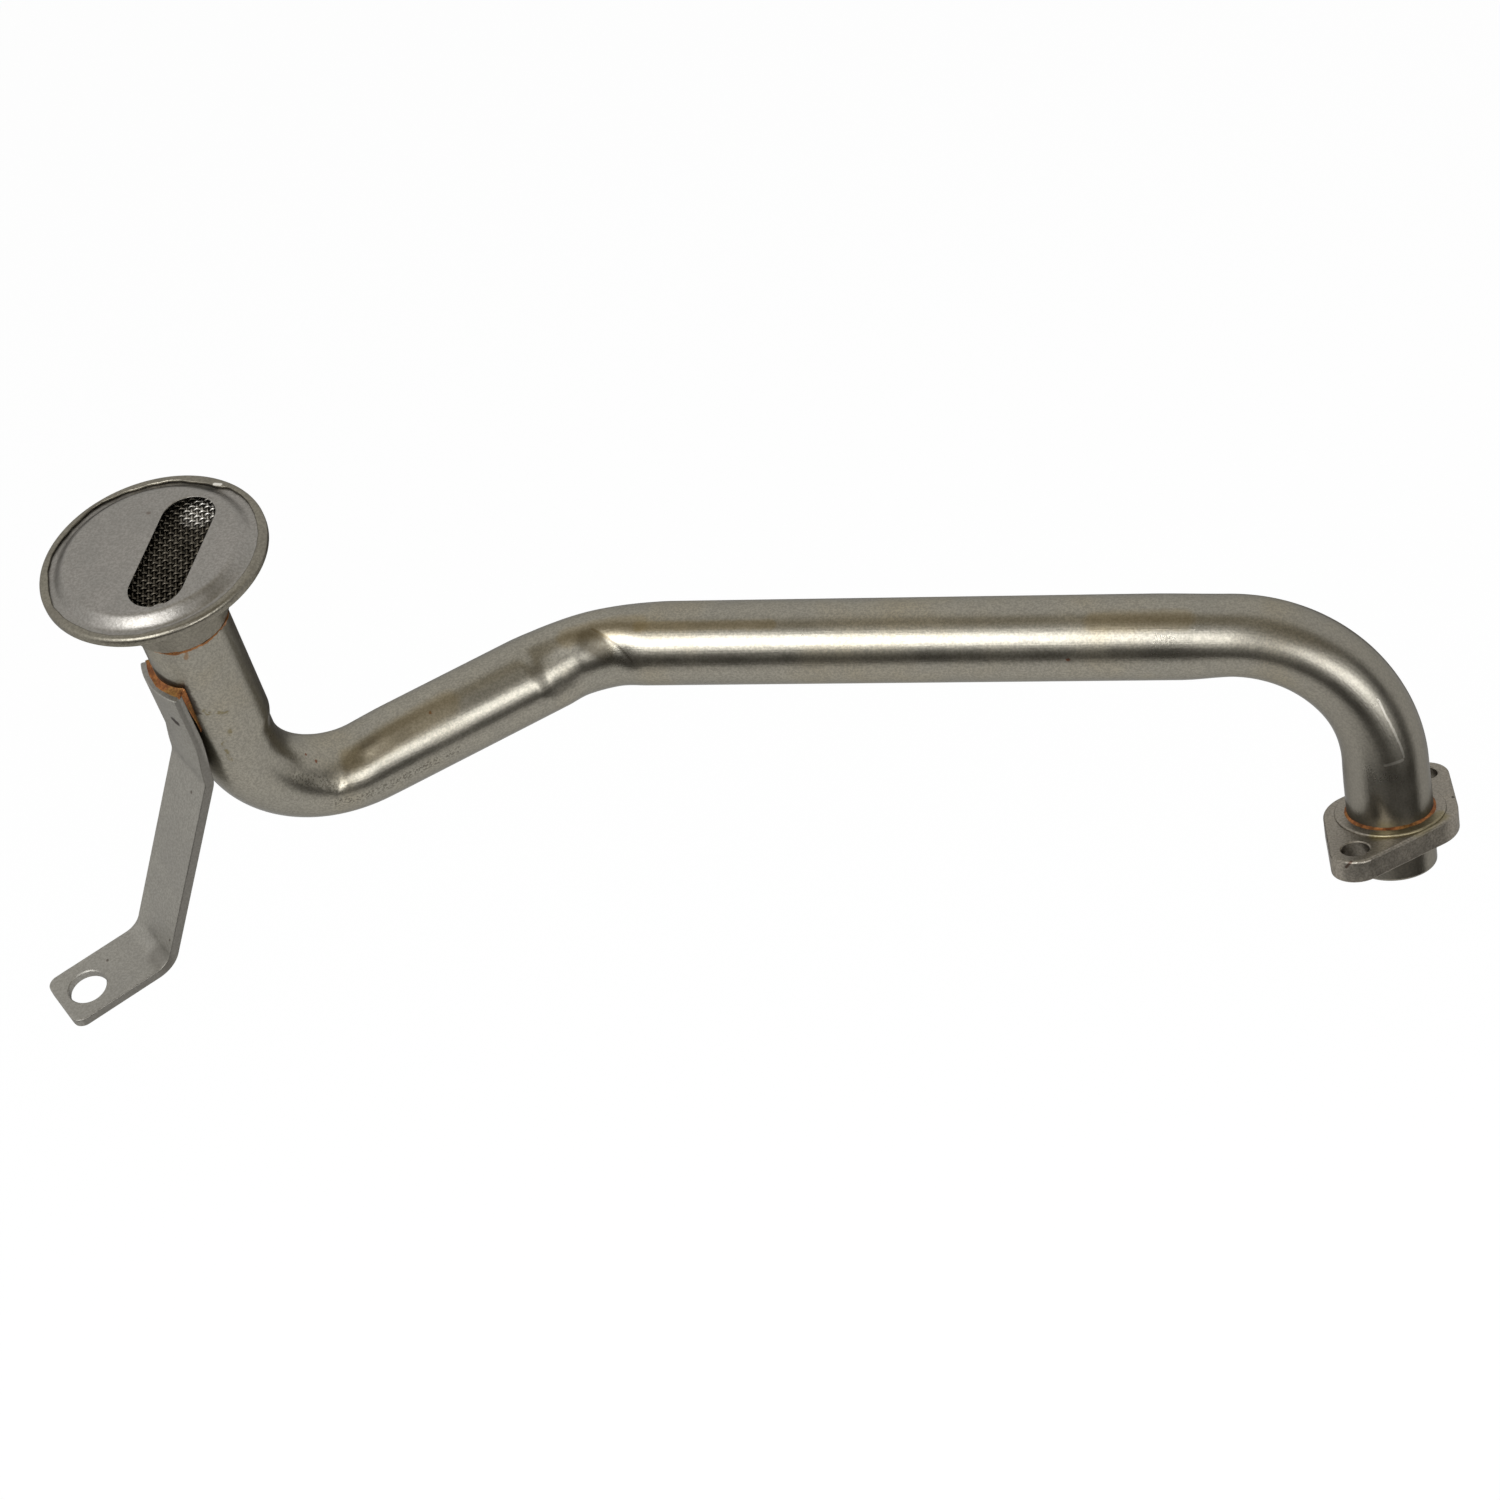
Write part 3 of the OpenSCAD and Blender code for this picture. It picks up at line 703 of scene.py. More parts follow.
# Strainer bell
# Pressed from thin sheet: a collar that slips over the tube's end, a funnel and a flat rim. The rim's edge
# was rolled over the screen and the cover by hand tools, so the hem wanders, and it is chipped in one place.
bell_sheet = 0.0007
collar_len, funnel_h = 0.0075, 0.0109
collar_r = sleeve_r + bell_sheet
screen_t, cover_sheet = 0.0005, 0.0007
plateau_r, step_w, step_h = 0.0204, 0.0040, 0.0023
lip_r, hem_lap, shelf_w = 0.0253, 0.001, 0.0038
screen_z = funnel_h + bell_sheet
cover_z = screen_z + screen_t
lip_z = cover_z + cover_sheet
step_r = plateau_r + step_w
fold_r = lip_r + hem_lap
funnel_r = fold_r - shelf_w
fold_out = (lip_z + bell_sheet - funnel_h) / 2
hem_inset = 0.00025
hem_r = fold_r + fold_out - hem_inset
hem_low, hem_high = fold_out * 0.5, fold_out * 0.85
hem_wander, hem_ripple, hem_lift = 0.00045, 0.00018, 0.00008
rim_flat_r = fold_r - 0.001
chip_spot = Vector((-0.2665, -0.0575, 0.1567))
chip_depth, chip_inner, chip_outer = 0.0007, 8, 16
bell_steps, funnel_steps = 192, 25


def funnel_line(inset):
    """The funnel from the collar to the rim's flat, moved in by the sheet's thickness for its inner face."""
    widening = (funnel_r - collar_r) / 2
    line = []
    for share in np.linspace(0, 1, funnel_steps):
        slope = Vector((widening * math.pi * math.sin(math.pi * share), funnel_h)).normalized()
        outer = Vector((collar_r + widening * (1 - math.cos(math.pi * share)), funnel_h * share))
        line.append(outer + inset * Vector((-slope.y, slope.x)))
    return line


def bell_profile(wander, lift):
    """The bell's closed section at one place round it; wander moves the hem's edge and lift raises it."""
    tip = bell_sheet / 2
    half_turn = np.linspace(0, math.pi, 9)
    low_middle = Vector((hem_r - hem_low, funnel_h + hem_low))
    high_middle = Vector((hem_r - hem_high, funnel_h + 2 * fold_out - hem_high))
    edge_middle = Vector((lip_r + wander + tip, lip_z + lift + tip))
    fold_middle = Vector((fold_r, funnel_h + fold_out))
    line = [Vector((collar_r, -collar_len + tip / 2)), Vector((collar_r, -collar_len / 2))]
    line += funnel_line(0) + [Vector((rim_flat_r, funnel_h))]
    line += [low_middle + hem_low * Vector((math.sin(a), -math.cos(a))) for a in quarter(6)]
    line += [high_middle + hem_high * Vector((math.cos(a), math.sin(a))) for a in quarter(9)]
    line += [edge_middle + tip * Vector((-math.sin(a), math.cos(a))) for a in np.linspace(0, math.pi, 7)]
    line += [fold_middle + (fold_out - bell_sheet) * Vector((math.sin(a), math.cos(a))) for a in half_turn]
    line += [Vector((rim_flat_r, screen_z))] + funnel_line(bell_sheet)[::-1]
    line += [Vector((sleeve_r, -collar_len / 2)), Vector((sleeve_r, -collar_len + tip / 2))]
    line += [Vector((sleeve_r + tip, -collar_len))]
    return line


bell_rows = []
chip = tube_end.inverted() @ chip_spot
chip_angle = math.atan2(chip.y, chip.x)
for step in range(bell_steps):
    angle = 2 * math.pi * step / bell_steps
    from_chip = math.degrees((angle - chip_angle + math.pi) % (2 * math.pi) - math.pi)
    wander = hem_wander * wavering(angle, 2.0, 11.0) + hem_ripple * wavering(angle, 8.0, 5.0)
    wander -= chip_depth * float(smooth(-chip_outer, -chip_inner, -abs(from_chip)))
    lift = hem_lift * (1 + wavering(angle, 4.0, 2.0))
    spun = tube_end @ Matrix.Rotation(angle, 4, "Z")
    bell_rows.append([spun @ Vector((point.x, 0, point.y)) for point in bell_profile(wander, lift)])
bell = skin_rows("strainer_bell_shell", bell_rows, joined=True)
soften(bell, 50)

sheet_steel, shader, where, colour = grained_steel(
    "sheet_steel", 90, 4.0, [(126, 121, 110), (140, 135, 122), (96, 92, 83)], 0.5, (0.32, 0.42))
bare_chip = [(-0.2640, -0.0601, 0.1577), (-0.2625, -0.0603, 0.1575)]
colour = streaked(colour, 0.9, where, bare_chip, 0.0006, linear(232, 228, 218))
feed(shader, "Base Color", colour)
stand_for(bell, "strainer_bell", sheet_steel)

# Strainer screen
# Plain-woven steel wire, cut to a disc and held by its edge in the hem. Each wire waves over one crossing
# wire and under the next.
wire_pitch = 0.0013
wire_r = 0.00029
weave_r = fold_r - 0.0004
weave_clock = -19
wire_count = 2 * int(weave_r / wire_pitch) + 1
wire_sides, points_per_gap = 6, 5
slot_offset, slot_clock = 0.0055, -38.6
# Where the painted light on the wires at the slot's far end lies, and how far it reaches
lit_end_offset, lit_end_r = Vector((0.001, 0.0155, 0)), 0.0060


def at_neck(clock, offset):
    """A place turned about the tube's end by the clock angle, then moved by the offset."""
    return tube_end @ Matrix.Rotation(math.radians(clock), 4, "Z") @ Matrix.Translation(offset)


def weave_tree():
    """Rows of waved wires one way and across, each row a half wave on from its neighbour, cut to a disc."""
    tree, given, out = node_tree("wire_weave", {
        "Pitch": "Float",
        "Wire radius": "Float",
        "Disc radius": "Float",
        "Wires": "Int",
        "Finish": "Material",
    })
    position = add_node("GeometryNodeInputPosition", tree=tree).outputs[0]

    def vector(x, y=0.0, z=0.0):
        return add_node("ShaderNodeCombineXYZ", {0: x, 1: y, 2: z}).outputs[0]

    gaps = maths("SUBTRACT", given["Wires"], 1)
    half = maths("MULTIPLY", maths("MULTIPLY", given["Pitch"], gaps), 0.5)
    back = maths("MULTIPLY", half, -1.0)
    wave_step = maths("DIVIDE", math.pi, given["Pitch"])

    def wires(turn, flip):
        rows = add_node("GeometryNodeMeshLine", {
            "Count": given["Wires"],
            "Start Location": vector(back),
            "Offset": vector(given["Pitch"]),
        }, mode="OFFSET")
        line = add_node("GeometryNodeCurvePrimitiveLine", {
            "Start": vector(0, back),
            "End": vector(0, half),
        })
        fine_line = add_node("GeometryNodeResampleCurve", {
            "Curve": line.outputs[0],
            "Count": maths("ADD", maths("MULTIPLY", gaps, points_per_gap), 1),
        })
        spread = add_node("GeometryNodeInstanceOnPoints", {
            "Points": rows.outputs[0],
            "Instance": fine_line.outputs[0],
        })
        real = add_node("GeometryNodeRealizeInstances", {"Geometry": spread.outputs[0]})
        at = add_node("ShaderNodeSeparateXYZ", {0: position}).outputs
        waves = [maths("COSINE", maths("MULTIPLY", at[axis], wave_step)) for axis in (0, 1)]
        height = maths("MULTIPLY", maths("MULTIPLY", *waves), maths("MULTIPLY", given["Wire radius"], flip))
        waved = add_node("GeometryNodeSetPosition", {
            "Geometry": real.outputs[0],
            "Offset": vector(0, 0, height),
        })
        return add_node("GeometryNodeTransform", {
            "Geometry": waved.outputs[0],
            "Rotation": (0, 0, turn),
        }).outputs[0]

    both = add_node("GeometryNodeJoinGeometry", tree=tree)
    feed(both, 0, wires(0.0, 1.0))
    feed(both, 0, wires(math.pi / 2, -1.0))
    from_middle = vector_math("LENGTH", position, out="Value")
    trimmed = add_node("GeometryNodeDeleteGeometry", {
        "Geometry": both.outputs[0],
        "Selection": maths("GREATER_THAN", from_middle, given["Disc radius"]),
    })
    ring = add_node("GeometryNodeCurvePrimitiveCircle", {
        "Radius": given["Wire radius"],
        "Resolution": wire_sides,
    })
    swept = add_node("GeometryNodeCurveToMesh", {
        "Curve": trimmed.outputs[0],
        "Profile Curve": ring.outputs[0],
        "Fill Caps": True,
    })
    end_tree(swept, given["Finish"], out)
    return tree


wire_steel = bpy.data.materials.new("wire_steel")
weave_seed = place_mesh("weave_seed", bpy.data.meshes.new("weave_seed"))
weave = weave_seed.modifiers.new("weave", "NODES")
weave.node_group = weave_tree()
set_sizes(weave, {
    "Pitch": wire_pitch,
    "Wire radius": wire_r,
    "Disc radius": weave_r,
    "Wires": wire_count,
    "Finish": wire_steel,
})
screen = plain_mesh(weave_seed, "woven_screen")
screen.data.transform(at_neck(weave_clock, (0, 0, screen_z + screen_t / 2)))
soften(screen, 60)

shader, where = start_finish(wire_steel, 0.35)
cloud = mottle(where, 300, 3.0)
# The wires' dark tone is partly painted shade of the recess under the cover
colour = tinted(between(cloud, 0.3, 0.7), linear(56, 52, 45), linear(84, 79, 70))
# Painted light: the wires at the slot's far end, where light falls in through the slot, are painted bright
rubbed_and_lit_mark = at_neck(slot_clock, (slot_offset, 0, screen_z)) @ lit_end_offset
colour = streaked(colour, 0.6, where, [rubbed_and_lit_mark], lit_end_r, linear(206, 202, 194))
feed(shader, "Base Color", colour)
feed(shader, "Roughness", between(cloud, 0.3, 0.7, 0.34, 0.46))
stand_for(screen, "strainer_screen", wire_steel)

# Strainer cover
# Pressed from thin sheet, with a raised plateau and one punched slot that lies off its middle. The bell's
# hem holds it by its edge. Its skin is a dull even grey.
slot_len, slot_w = 0.036, 0.0134
held_r = fold_r - 0.0001
cover_around = 240
punch_roll, punch_reach = 0.00015, 0.0004
punch_rings = [0, 0.0001, 0.0002, punch_reach, 0.0007]
step_rings, step_inside, step_outside = 13, 0.0006, 0.0005


def slot_point(share):
    """A place on the slot's round-ended outline, by its share of the way round."""
    flat, radius = slot_len - slot_w, slot_w / 2
    way = share * (2 * flat + 2 * math.pi * radius)
    if way < flat:
        return Vector((radius, way - flat / 2))
    way -= flat
    if way < math.pi * radius:
        a = way / radius
        return Vector((radius * math.cos(a), flat / 2 + radius * math.sin(a)))
    way -= math.pi * radius
    if way < flat:
        return Vector((-radius, flat / 2 - way))
    a = (way - flat) / radius
    return Vector((-radius * math.cos(a), -flat / 2 - radius * math.sin(a)))


def onto_circle(ray, radius):
    """How far along a ray from the slot's middle a circle round the bell's axis lies."""
    along = ray.x * slot_offset
    return -along + math.sqrt(along**2 - slot_offset**2 + radius**2)


def cover_height(radius):
    """Height of the cover's upper face: flat edge, rounded step, flat plateau."""
    share = min(max((step_r - radius) / step_w, 0), 1)
    return lip_z + step_h * (1 - math.cos(math.pi * share)) / 2


cover_rows = []
slot_ring = [slot_point(j / cover_around) for j in range(cover_around)]
for out in punch_rings:
    drop = punch_roll * (1 - min(out / punch_reach, 1)) ** 2
    cover_rows.append([(*(p + p.normalized() * out), lip_z + step_h - drop) for p in slot_ring])
step_radii = np.linspace(plateau_r, step_r, step_rings).tolist()
for radius in [plateau_r - step_inside, *step_radii, step_r + step_outside, lip_r, held_r]:
    row = []
    for p in slot_ring:
        ray = p.normalized()
        row.append((*(ray * onto_circle(ray, radius)), cover_height(radius)))
    cover_rows.append(row)
cover_place = at_neck(slot_clock, (slot_offset, 0, 0))
cover_rows = [[cover_place @ Vector(point) for point in row] for row in cover_rows]
cover = skin_rows("strainer_cover_plate", cover_rows)
if cover.data.polygons[-1].normal.dot(tube_end.to_3x3().col[2]) < 0:
    cover.data.flip_normals()
cover = walled(cover, cover_sheet, "cover_plate")

cover_steel, shader, where, colour = grained_steel(
    "cover_steel", 130, 5.0, [(144, 141, 135), (154, 150, 144), (114, 110, 104)], 0.5, (0.34, 0.44))
uneven = shaken(where, 600, 0.001)
colour = streaked(colour, 0.5, uneven, [(-0.2777, -0.0704, 0.1563)], 0.0008, linear(84, 66, 52))
feed(shader, "Base Color", colour)
stand_for(cover, "strainer_cover", cover_steel)

# Braze under the bell
# Copper that was drawn up into the joint between the bell's collar and the tube. It left a thin uneven line
# where the collar ends.
bell_bead, bell_bead_rise = 0.0009, 1.7
bell_swells = [(0.4, 2.5, 21.0), (0.15, 10.0, 9.0)]
bell_ring_bead = braze_ring(
    "bell_bead", tube_end, -collar_len, Vector((0, 0, -1)), bell_bead, bell_bead_rise, bell_swells)
stand_for(bell_ring_bead, "bell_braze", copper)

# Support bracket
# A strap blanked from steel plate. Its top was formed into a saddle that hugs the neck, then it opens out
# flat, bends away from the neck and bends again into a foot with one bolt hole. Tumbling softened its edges.
strap_w, strap_t, strap_edge = 0.018, 0.0026, 0.00035
saddle_gap, saddle_len, ease_len = 0.014, 0.0297, 0.014
saddle_r = 0.020
strap_len, strap_angle = 0.0564, math.radians(31)
strap_bend_r, foot_bend_r = 0.005, 0.007
foot_len, foot_corner_r, foot_hole_r, foot_hole_edge = 0.0279, 0.003, 0.005, 0.0079
bracket_clock = 189.3
strap_columns = 21
strap_r = sleeve_r + strap_t / 2
foot_angle = math.pi / 2 - strap_angle
strap_cut = strap_bend_r * math.tan(strap_angle / 2)
foot_cut = foot_bend_r * math.tan(foot_angle / 2)
hug_len = saddle_len - strap_cut
turn_len = strap_bend_r * strap_angle
flat_len = strap_len - strap_cut - foot_cut
turn_back_len = foot_bend_r * foot_angle
blank_len = hug_len + turn_len + flat_len + turn_back_len + foot_len - foot_cut
saddle_place = at_neck(bracket_clock, (0, 0, -collar_len - saddle_gap)) @ Matrix.Rotation(math.pi, 4, "X")


def lean_way(lean):
    """Down the strap, in side view, where it leans from the neck by an angle."""
    return Vector((math.sin(lean), math.cos(lean)))


def lean_out(lean):
    """Away from the neck, square to the strap, where it leans by an angle."""
    return Vector((math.cos(lean), -math.sin(lean)))


def strap_station(along):
    """Where the blank's middle line lies after bending, in side view, and its lean from the neck."""
    if along <= hug_len:
        return Vector((strap_r, along)), 0.0
    corner = Vector((strap_r + strap_bend_r, hug_len))
    along -= hug_len
    if along <= turn_len:
        lean = along / strap_bend_r
        return corner - strap_bend_r * lean_out(lean), lean
    along -= turn_len
    start = corner - strap_bend_r * lean_out(strap_angle)
    if along <= flat_len:
        return start + along * lean_way(strap_angle), strap_angle
    along -= flat_len
    corner = start + flat_len * lean_way(strap_angle) + foot_bend_r * lean_out(strap_angle)
    lean = min(strap_angle + along / foot_bend_r, math.pi / 2)
    rest = max(along - turn_back_len, 0)
    return corner - foot_bend_r * lean_out(lean) + rest * lean_way(lean), lean


def fold_strap(along, across, above):
    """A place on the flat blank after the saddle is formed and both bends are made."""
    middle, lean = strap_station(along)
    left = min(max(hug_len + turn_len - along, 0) / (ease_len + turn_len), 1)
    share = (1 - math.cos(math.pi * left)) / 2
    turn, wide, sag = 0.0, across, 0.0
    if share > 1e-6:
        turn = across / saddle_r * share
        wide = saddle_r / share * math.sin(turn)
        sag = saddle_r / share * (1 - math.cos(turn))
    at = middle + (above * math.cos(turn) - sag) * lean_out(lean)
    return Vector((at.x, wide + above * math.sin(turn), at.y))


def strap_ring(along, shrink):
    """The blank's rounded section at one place along it, shrunk towards its end edges."""
    past_corner = max(along - (blank_len - foot_corner_r), 0)
    corner = foot_corner_r - math.sqrt(max(foot_corner_r**2 - past_corner**2, 0))
    half_w, half_t = strap_w / 2 - corner - shrink, strap_t / 2 - shrink
    e = min(strap_edge, half_t * 0.9)
    half = [(x, half_t) for x in np.linspace(e - half_w, half_w - e, strap_columns)]
    half += [(half_w - e + e * math.sin(a), half_t - e + e * math.cos(a)) for a in quarter(4)[1:]]
    half += [(half_w - e + e * math.cos(a), e - half_t - e * math.sin(a)) for a in quarter(4)[:-1]]
    ring = half + [(-across, -above) for across, above in half]
    return [saddle_place @ fold_strap(along, across, above) for across, above in ring]


flat_from = hug_len + turn_len
foot_from = flat_from + flat_len
corner_from = blank_len - foot_corner_r
strap_parts = [
    (strap_edge, hug_len - ease_len, 7),
    (hug_len - ease_len, flat_from, 41),
    (flat_from, foot_from, 11),
    (foot_from, foot_from + turn_back_len, 23),
    (foot_from + turn_back_len, corner_from, 3),
]
strap_marks = []
for begin, end, count in strap_parts:
    strap_marks += np.linspace(begin, end, count, endpoint=False).tolist()
corner_marks = [corner_from + foot_corner_r * math.sin(a) for a in quarter(10)]
strap_marks += [mark for mark in corner_marks if mark < blank_len - strap_edge]
rounding = [(strap_edge * (1 - math.sin(a)), strap_edge * (1 - math.cos(a))) for a in quarter(4)]
strap_rows = [strap_ring(inset, shrink) for inset, shrink in rounding[:0:-1]]
strap_rows += [strap_ring(mark, 0) for mark in strap_marks]
strap_rows += [strap_ring(blank_len - inset, shrink) for inset, shrink in rounding]
bracket = skin_rows("bracket_strap", strap_rows, caps=True)
hole_middle, _ = strap_station(blank_len - foot_hole_edge)
hole_place = saddle_place @ Matrix.Translation((hole_middle.x, 0, hole_middle.y))
foot_drill = drill("foot_drill", foot_hole_r, -strap_t / 2, strap_t / 2, hole_edge, hole_place)
bracket = even_normals(cut(bracket, [foot_drill]))

# Dull plate, with painted shade on its sheared side edges, one nick, a stain at the foot's bend and a few
# specks
strap_steel, shader, where, colour = grained_steel(
    "strap_steel", 110, 4.0, [(150, 147, 140), (158, 155, 147), (122, 119, 112)], 0.5, (0.44, 0.55))
# Painted shade: the strap's sheared side faces are darkened, by the distance across the strap
side_way = saddle_place.to_3x3().col[1]
across = vector_math("DOT_PRODUCT", where, side_way, out="Value")
across = maths("SUBTRACT", across, saddle_place.translation.dot(side_way))
across = maths("ABSOLUTE", across)
side_face_shade = between(across, strap_w / 2 - 0.0004, strap_w / 2 - 0.0001)
colour = marked(colour, 0.5, side_face_shade, linear(92, 88, 82))
uneven = shaken(where, 500, 0.0012)
nick = [(-0.2839, -0.0778, 0.1057), (-0.2834, -0.0779, 0.1049)]
colour = streaked(colour, 0.85, uneven, nick, 0.0012, linear(46, 38, 36))
foot_stain = [(-0.3096, -0.0734, 0.0363), (-0.3114, -0.0714, 0.0373)]
colour = streaked(colour, 0.4, uneven, foot_stain, 0.004, linear(84, 80, 72))
for speck in [(-0.2897, -0.0692, 0.0817), (-0.3062, -0.0726, 0.0421), (-0.3252, -0.0718, 0.0374)]:
    colour = streaked(colour, 0.7, uneven, [speck], 0.0006, linear(70, 58, 50))
feed(shader, "Base Color", colour)
stand_for(bracket, "support_bracket", strap_steel)

# Braze round the saddle
# Copper that ran along the saddle's top edge and into the gap that opens at its two sides. It laps the inner
# half of the top edge and thins out down the sides, where the saddle leaves the tube.
saddle_bead = 0.0014
saddle_half = strap_w / 2 / saddle_r
side_run = hug_len - ease_len
saddle_face_r = saddle_r - strap_t / 2
saddle_top = Vector((0, 0, -1))
# How far the bead stands out, low and high on the sides, at the corners and on the top, and laps the sides
low_rise, high_rise, corner_rise, top_rise = 0.00005, 0.00065, 0.0007, 0.001
low_lap, high_lap = -0.0008, 0.0001
side_steps, corner_steps, top_steps = 30, 7, 41


def saddle_bead_section(angle, height, up, lap, rise):
    """The bead's section at an angle about the saddle and a height down it; its free side faces up."""
    face = Vector((strap_r - saddle_r + saddle_face_r * math.cos(angle), saddle_face_r * math.sin(angle), 0))
    out = face.normalized()
    foot = out * tube_r + Vector((0, 0, height))
    swell = 1 + 0.2 * noise.noise(foot * 320) + 0.06 * noise.noise(foot * 900)
    reach = face.length - tube_r + lap * swell
    return [saddle_place @ point for point in fillet(foot, up, out, rise * swell, reach)]


legs = []
for side in (-1, 1):
    leg = []
    around = Vector((-math.sin(side * saddle_half), math.cos(side * saddle_half), 0)) * side
    for share in np.linspace(0, 1, side_steps).tolist():
        rise = low_rise + (high_rise - low_rise) * float(smooth(0.1, 1.0, share))
        lap = low_lap + (high_lap - low_lap) * float(smooth(0.0, 0.8, share))
        leg.append(saddle_bead_section(side * saddle_half, side_run * (1 - share), around, lap, rise))
    for step in range(1, corner_steps):
        share = step / corner_steps
        up = around * math.cos(math.pi / 2 * share) + saddle_top * math.sin(math.pi / 2 * share)
        lap = high_lap + (saddle_bead - high_lap) * share
        rise = corner_rise + (top_rise - corner_rise) * share
        leg.append(saddle_bead_section(side * saddle_half, 0.0, up, lap, rise))
    legs.append(leg)
top = []
for angle in np.linspace(-saddle_half, saddle_half, top_steps).tolist():
    top.append(saddle_bead_section(angle, 0.0, saddle_top, saddle_bead, top_rise))
saddle_rows = legs[0] + top + legs[1][::-1]
saddle_ring_bead = skin_rows("saddle_bead", saddle_rows, caps=True)
soften(saddle_ring_bead, 60)
stand_for(saddle_ring_bead, "bracket_braze", copper)

# Studio
# A white room with a main softbox over the camera's left shoulder and a lower one to its right. Cards that
# only the metal sees give it dark and warm bands: a dark flag under the softboxes, one between them, two
# warm cards over them and a dim flag behind. The camera stands where the photograph was taken from.
floor_z = -0.46
floor_span = 24.0
studio_middle = Vector((-0.15, -0.03, 0.08))
camera_eye = Vector((-0.00816, -0.63019, 0.35890))
camera_forward = Vector((-0.2164, 0.8726, -0.4378))
camera_right = Vector((0.9712, 0.1466, -0.1879))
camera_lens = 64.8
softbox_distance, softbox_colour = 2.0, (0.95, 0.97, 1.0)
shade_brown, shade_grey, warm_yellow = (1.0, 0.9, 0.75, 1.0), (1.0, 0.95, 0.88, 1.0), (1.0, 0.9, 0.68, 1.0)
background_level = 1.0
room_level = 0.92
floor_glow = 0.9


def heading(azimuth, elevation):
    """The direction at a compass angle from +Y towards +X and an angle above the floor."""
    az, el = math.radians(azimuth), math.radians(elevation)
    return Vector((math.cos(el) * math.sin(az), math.cos(el) * math.cos(az), math.sin(el)))


world = bpy.data.worlds.new("white_room")
bpy.context.scene.world = world
world.use_nodes = True
backdrop = world.node_tree.nodes["Background"]
backdrop.inputs["Color"].default_value = (0.995, 0.995, 0.99, 1.0)
level = add_node("ShaderNodeMapRange", {
    "Value": add_node("ShaderNodeLightPath", tree=world.node_tree).outputs["Is Camera Ray"],
    "To Min": room_level,
    "To Max": background_level,
})
feed(backdrop, "Strength", level.outputs[0])

floor_mesh = bpy.data.meshes.new("floor")
floor_corners = [(-1, -1), (1, -1), (1, 1), (-1, 1)]
floor_points = [(x * floor_span / 2, y * floor_span / 2, floor_z) for x, y in floor_corners]
floor_mesh.from_pydata(floor_points, [], [(0, 1, 2, 3)])
floor = place_mesh("floor", floor_mesh)
white_floor = bpy.data.materials.new("white_floor")
shader, _ = start_finish(white_floor, 0.8, 0.0)
tree = white_floor.node_tree
shader.inputs["Base Color"].default_value = (0.9, 0.9, 0.9, 1.0)
rays = add_node("ShaderNodeLightPath", tree=tree).outputs
glow = add_node("ShaderNodeEmission", {"Color": (1.0, 1.0, 1.0, 1.0), "Strength": 1.0}, tree).outputs[0]
seen = maths("MAXIMUM", rays["Is Camera Ray"], rays["Is Glossy Ray"])
shown = maths("MULTIPLY", seen, floor_glow)
mixed = add_node("ShaderNodeMixShader", {0: shown, 1: shader.outputs[0], 2: glow}).outputs[0]
feed(tree.nodes["Material Output"], "Surface", mixed)
floor_mesh.materials.append(white_floor)


def aim(obj, way, up):
    """Turns an object so that its -Z looks along the way and its +X lies square to the up direction."""
    back = -way.normalized()
    right = up.cross(back).normalized()
    turned_to = Matrix((right, back.cross(right), back)).transposed().to_4x4()
    obj.matrix_world = Matrix.Translation(obj.location) @ turned_to


def softbox(name, azimuth, elevation, width, height, power, slant):
    """A soft area light that looks at the part; its long side slants down to the right by the angle."""
    lamp = bpy.data.lights.new(name, "AREA")
    lamp.shape = "RECTANGLE"
    lamp.size, lamp.size_y = width, height
    lamp.energy = power
    lamp.color = softbox_colour
    box = bpy.data.objects.new(name, lamp)
    bpy.context.scene.collection.objects.link(box)
    way = heading(azimuth, elevation)
    box.location = studio_middle + way * softbox_distance
    side = Matrix.Rotation(math.radians(slant), 3, way)
    aim(box, -way, side @ Vector((0, 0, 1)))
    box.visible_camera = False


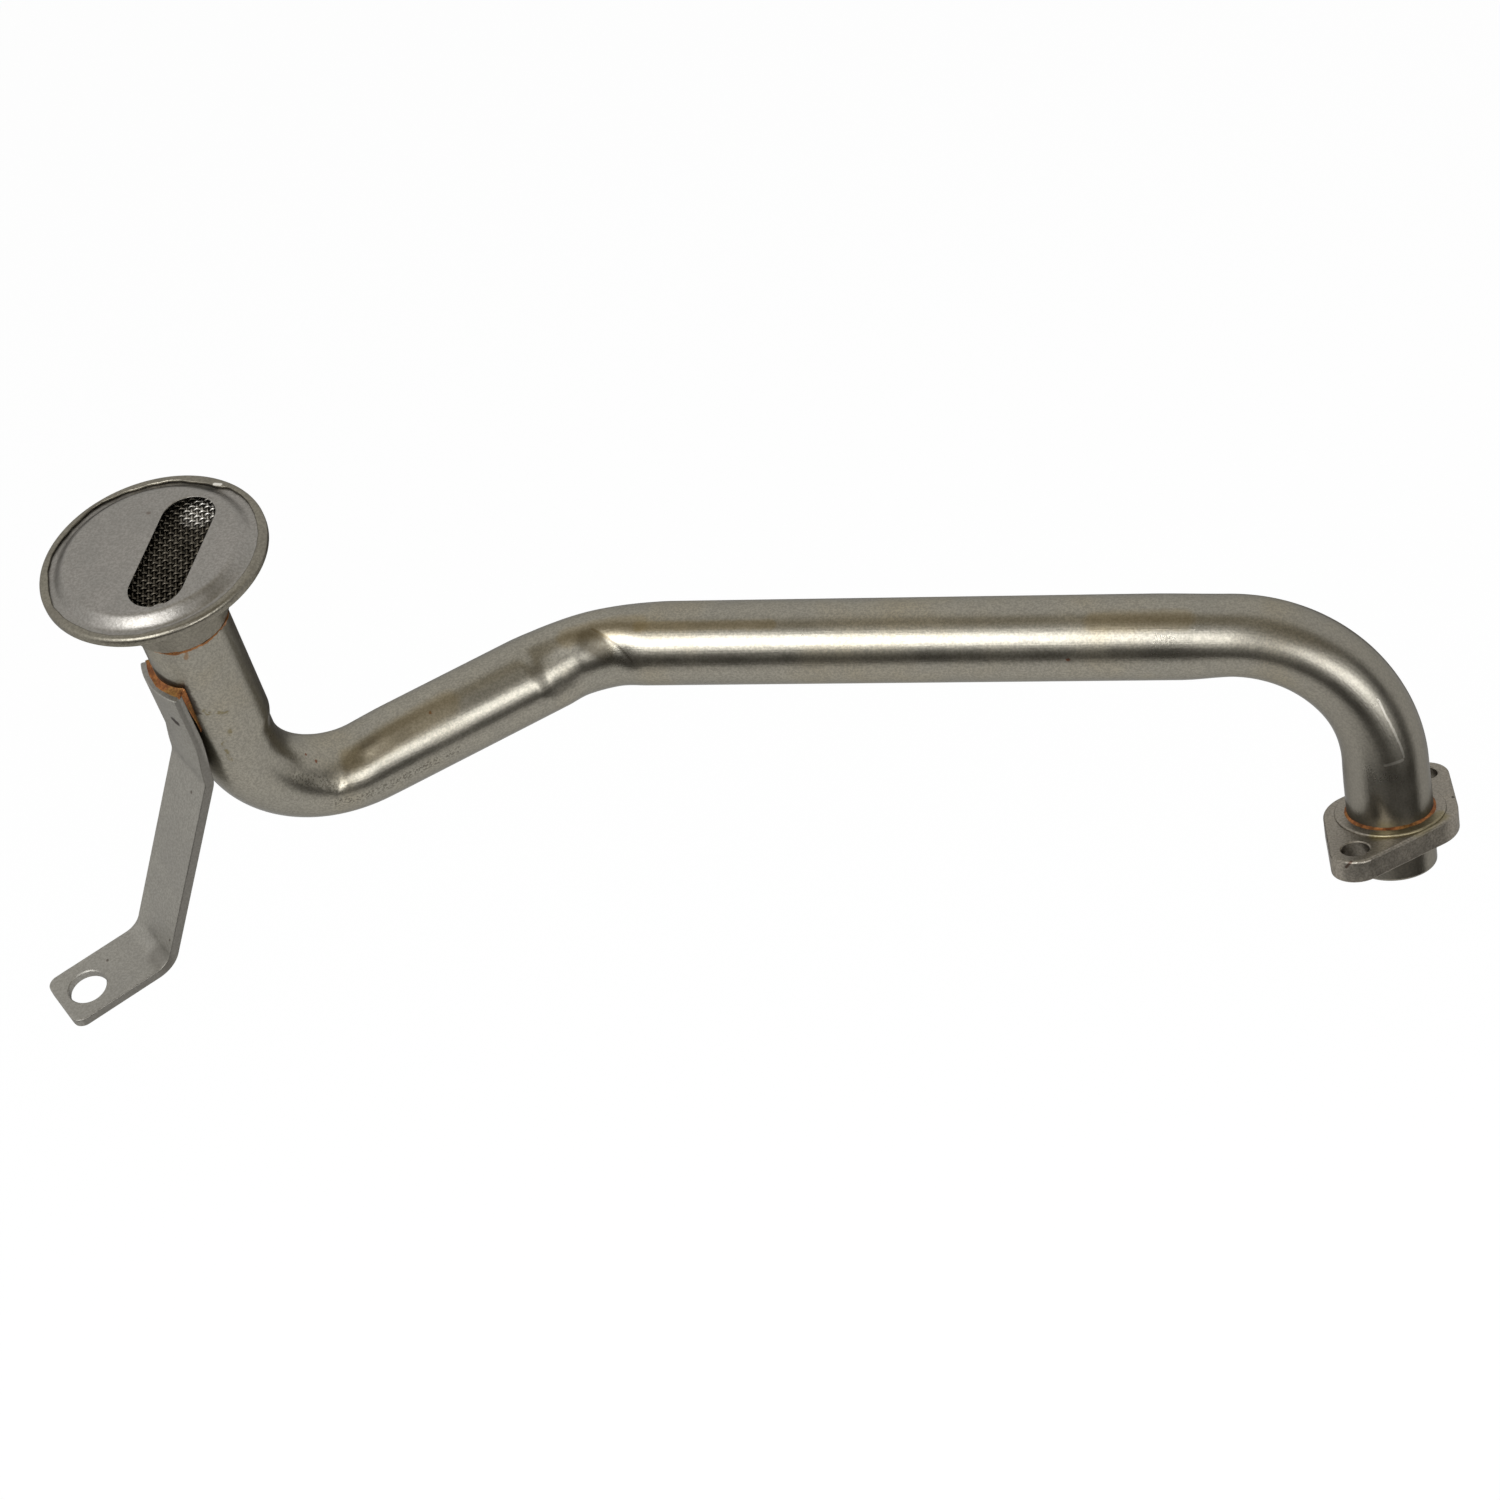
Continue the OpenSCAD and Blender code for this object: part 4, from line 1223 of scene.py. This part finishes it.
softbox("main_softbox", 192, 28, 1.2, 1.05, 29.0, -6)
softbox("side_softbox", 142, 4, 1.15, 0.64, 11.5, -20)


def card(name, edges, distance, colour, level):
    """A curved card that only metal sees; its edges are azimuths with a low and a high elevation each."""
    points = []
    azimuths, lows, highs = zip(*edges)
    for azimuth in np.arange(azimuths[0], azimuths[-1] + 1, 3).tolist():
        for elevation in (np.interp(azimuth, azimuths, lows), np.interp(azimuth, azimuths, highs)):
            points.append(studio_middle + heading(azimuth, float(elevation)) * distance)
    faces = [(2 * i, 2 * i + 1, 2 * i + 3, 2 * i + 2) for i in range(len(points) // 2 - 1)]
    mesh = bpy.data.meshes.new(name)
    mesh.from_pydata(points, [], faces)
    sheet = place_mesh(name, mesh)
    paint = bpy.data.materials.new(name)
    paint.use_nodes = True
    tree = paint.node_tree
    tree.nodes.remove(tree.nodes["Principled BSDF"])
    light = add_node("ShaderNodeEmission", {"Color": colour, "Strength": level}, tree).outputs[0]
    feed(tree.nodes["Material Output"], "Surface", light)
    mesh.materials.append(paint)
    sheet.visible_camera = False
    sheet.visible_diffuse = False
    sheet.visible_shadow = False


under_softboxes = [
    (90, -40, 26), (104, -44, 24), (112, -46, -8), (120, -46, -18), (140, -46, -17), (160, -46, -12),
    (172, -40, 0), (200, -39, 2), (225, -42, -6), (240, -36, -20),
]
card("dark_flag", under_softboxes, 0.8, shade_brown, 0.06)
card("gap_flag", [(158, -14, 50), (174, -14, 50)], 1.9, shade_brown, 0.1)
card("back_flag", [(-56, -44, -4), (28, -44, -4)], 1.2, shade_grey, 0.18)
card("warm_card", [(95, 24, 62), (158, 24, 62)], 2.3, warm_yellow, 0.28)
card("warm_top", [(95, 57, 88), (250, 57, 88)], 2.4, warm_yellow, 0.42)

lens = bpy.data.cameras.new("photo_camera")
lens.lens = camera_lens
lens.sensor_width = 36
lens.clip_start = 0.01
camera = bpy.data.objects.new("photo_camera", lens)
bpy.context.scene.collection.objects.link(camera)
camera.location = camera_eye
aim(camera, camera_forward, camera_right.cross(camera_forward))
bpy.context.scene.camera = camera
bpy.context.scene.view_settings.view_transform = "Standard"
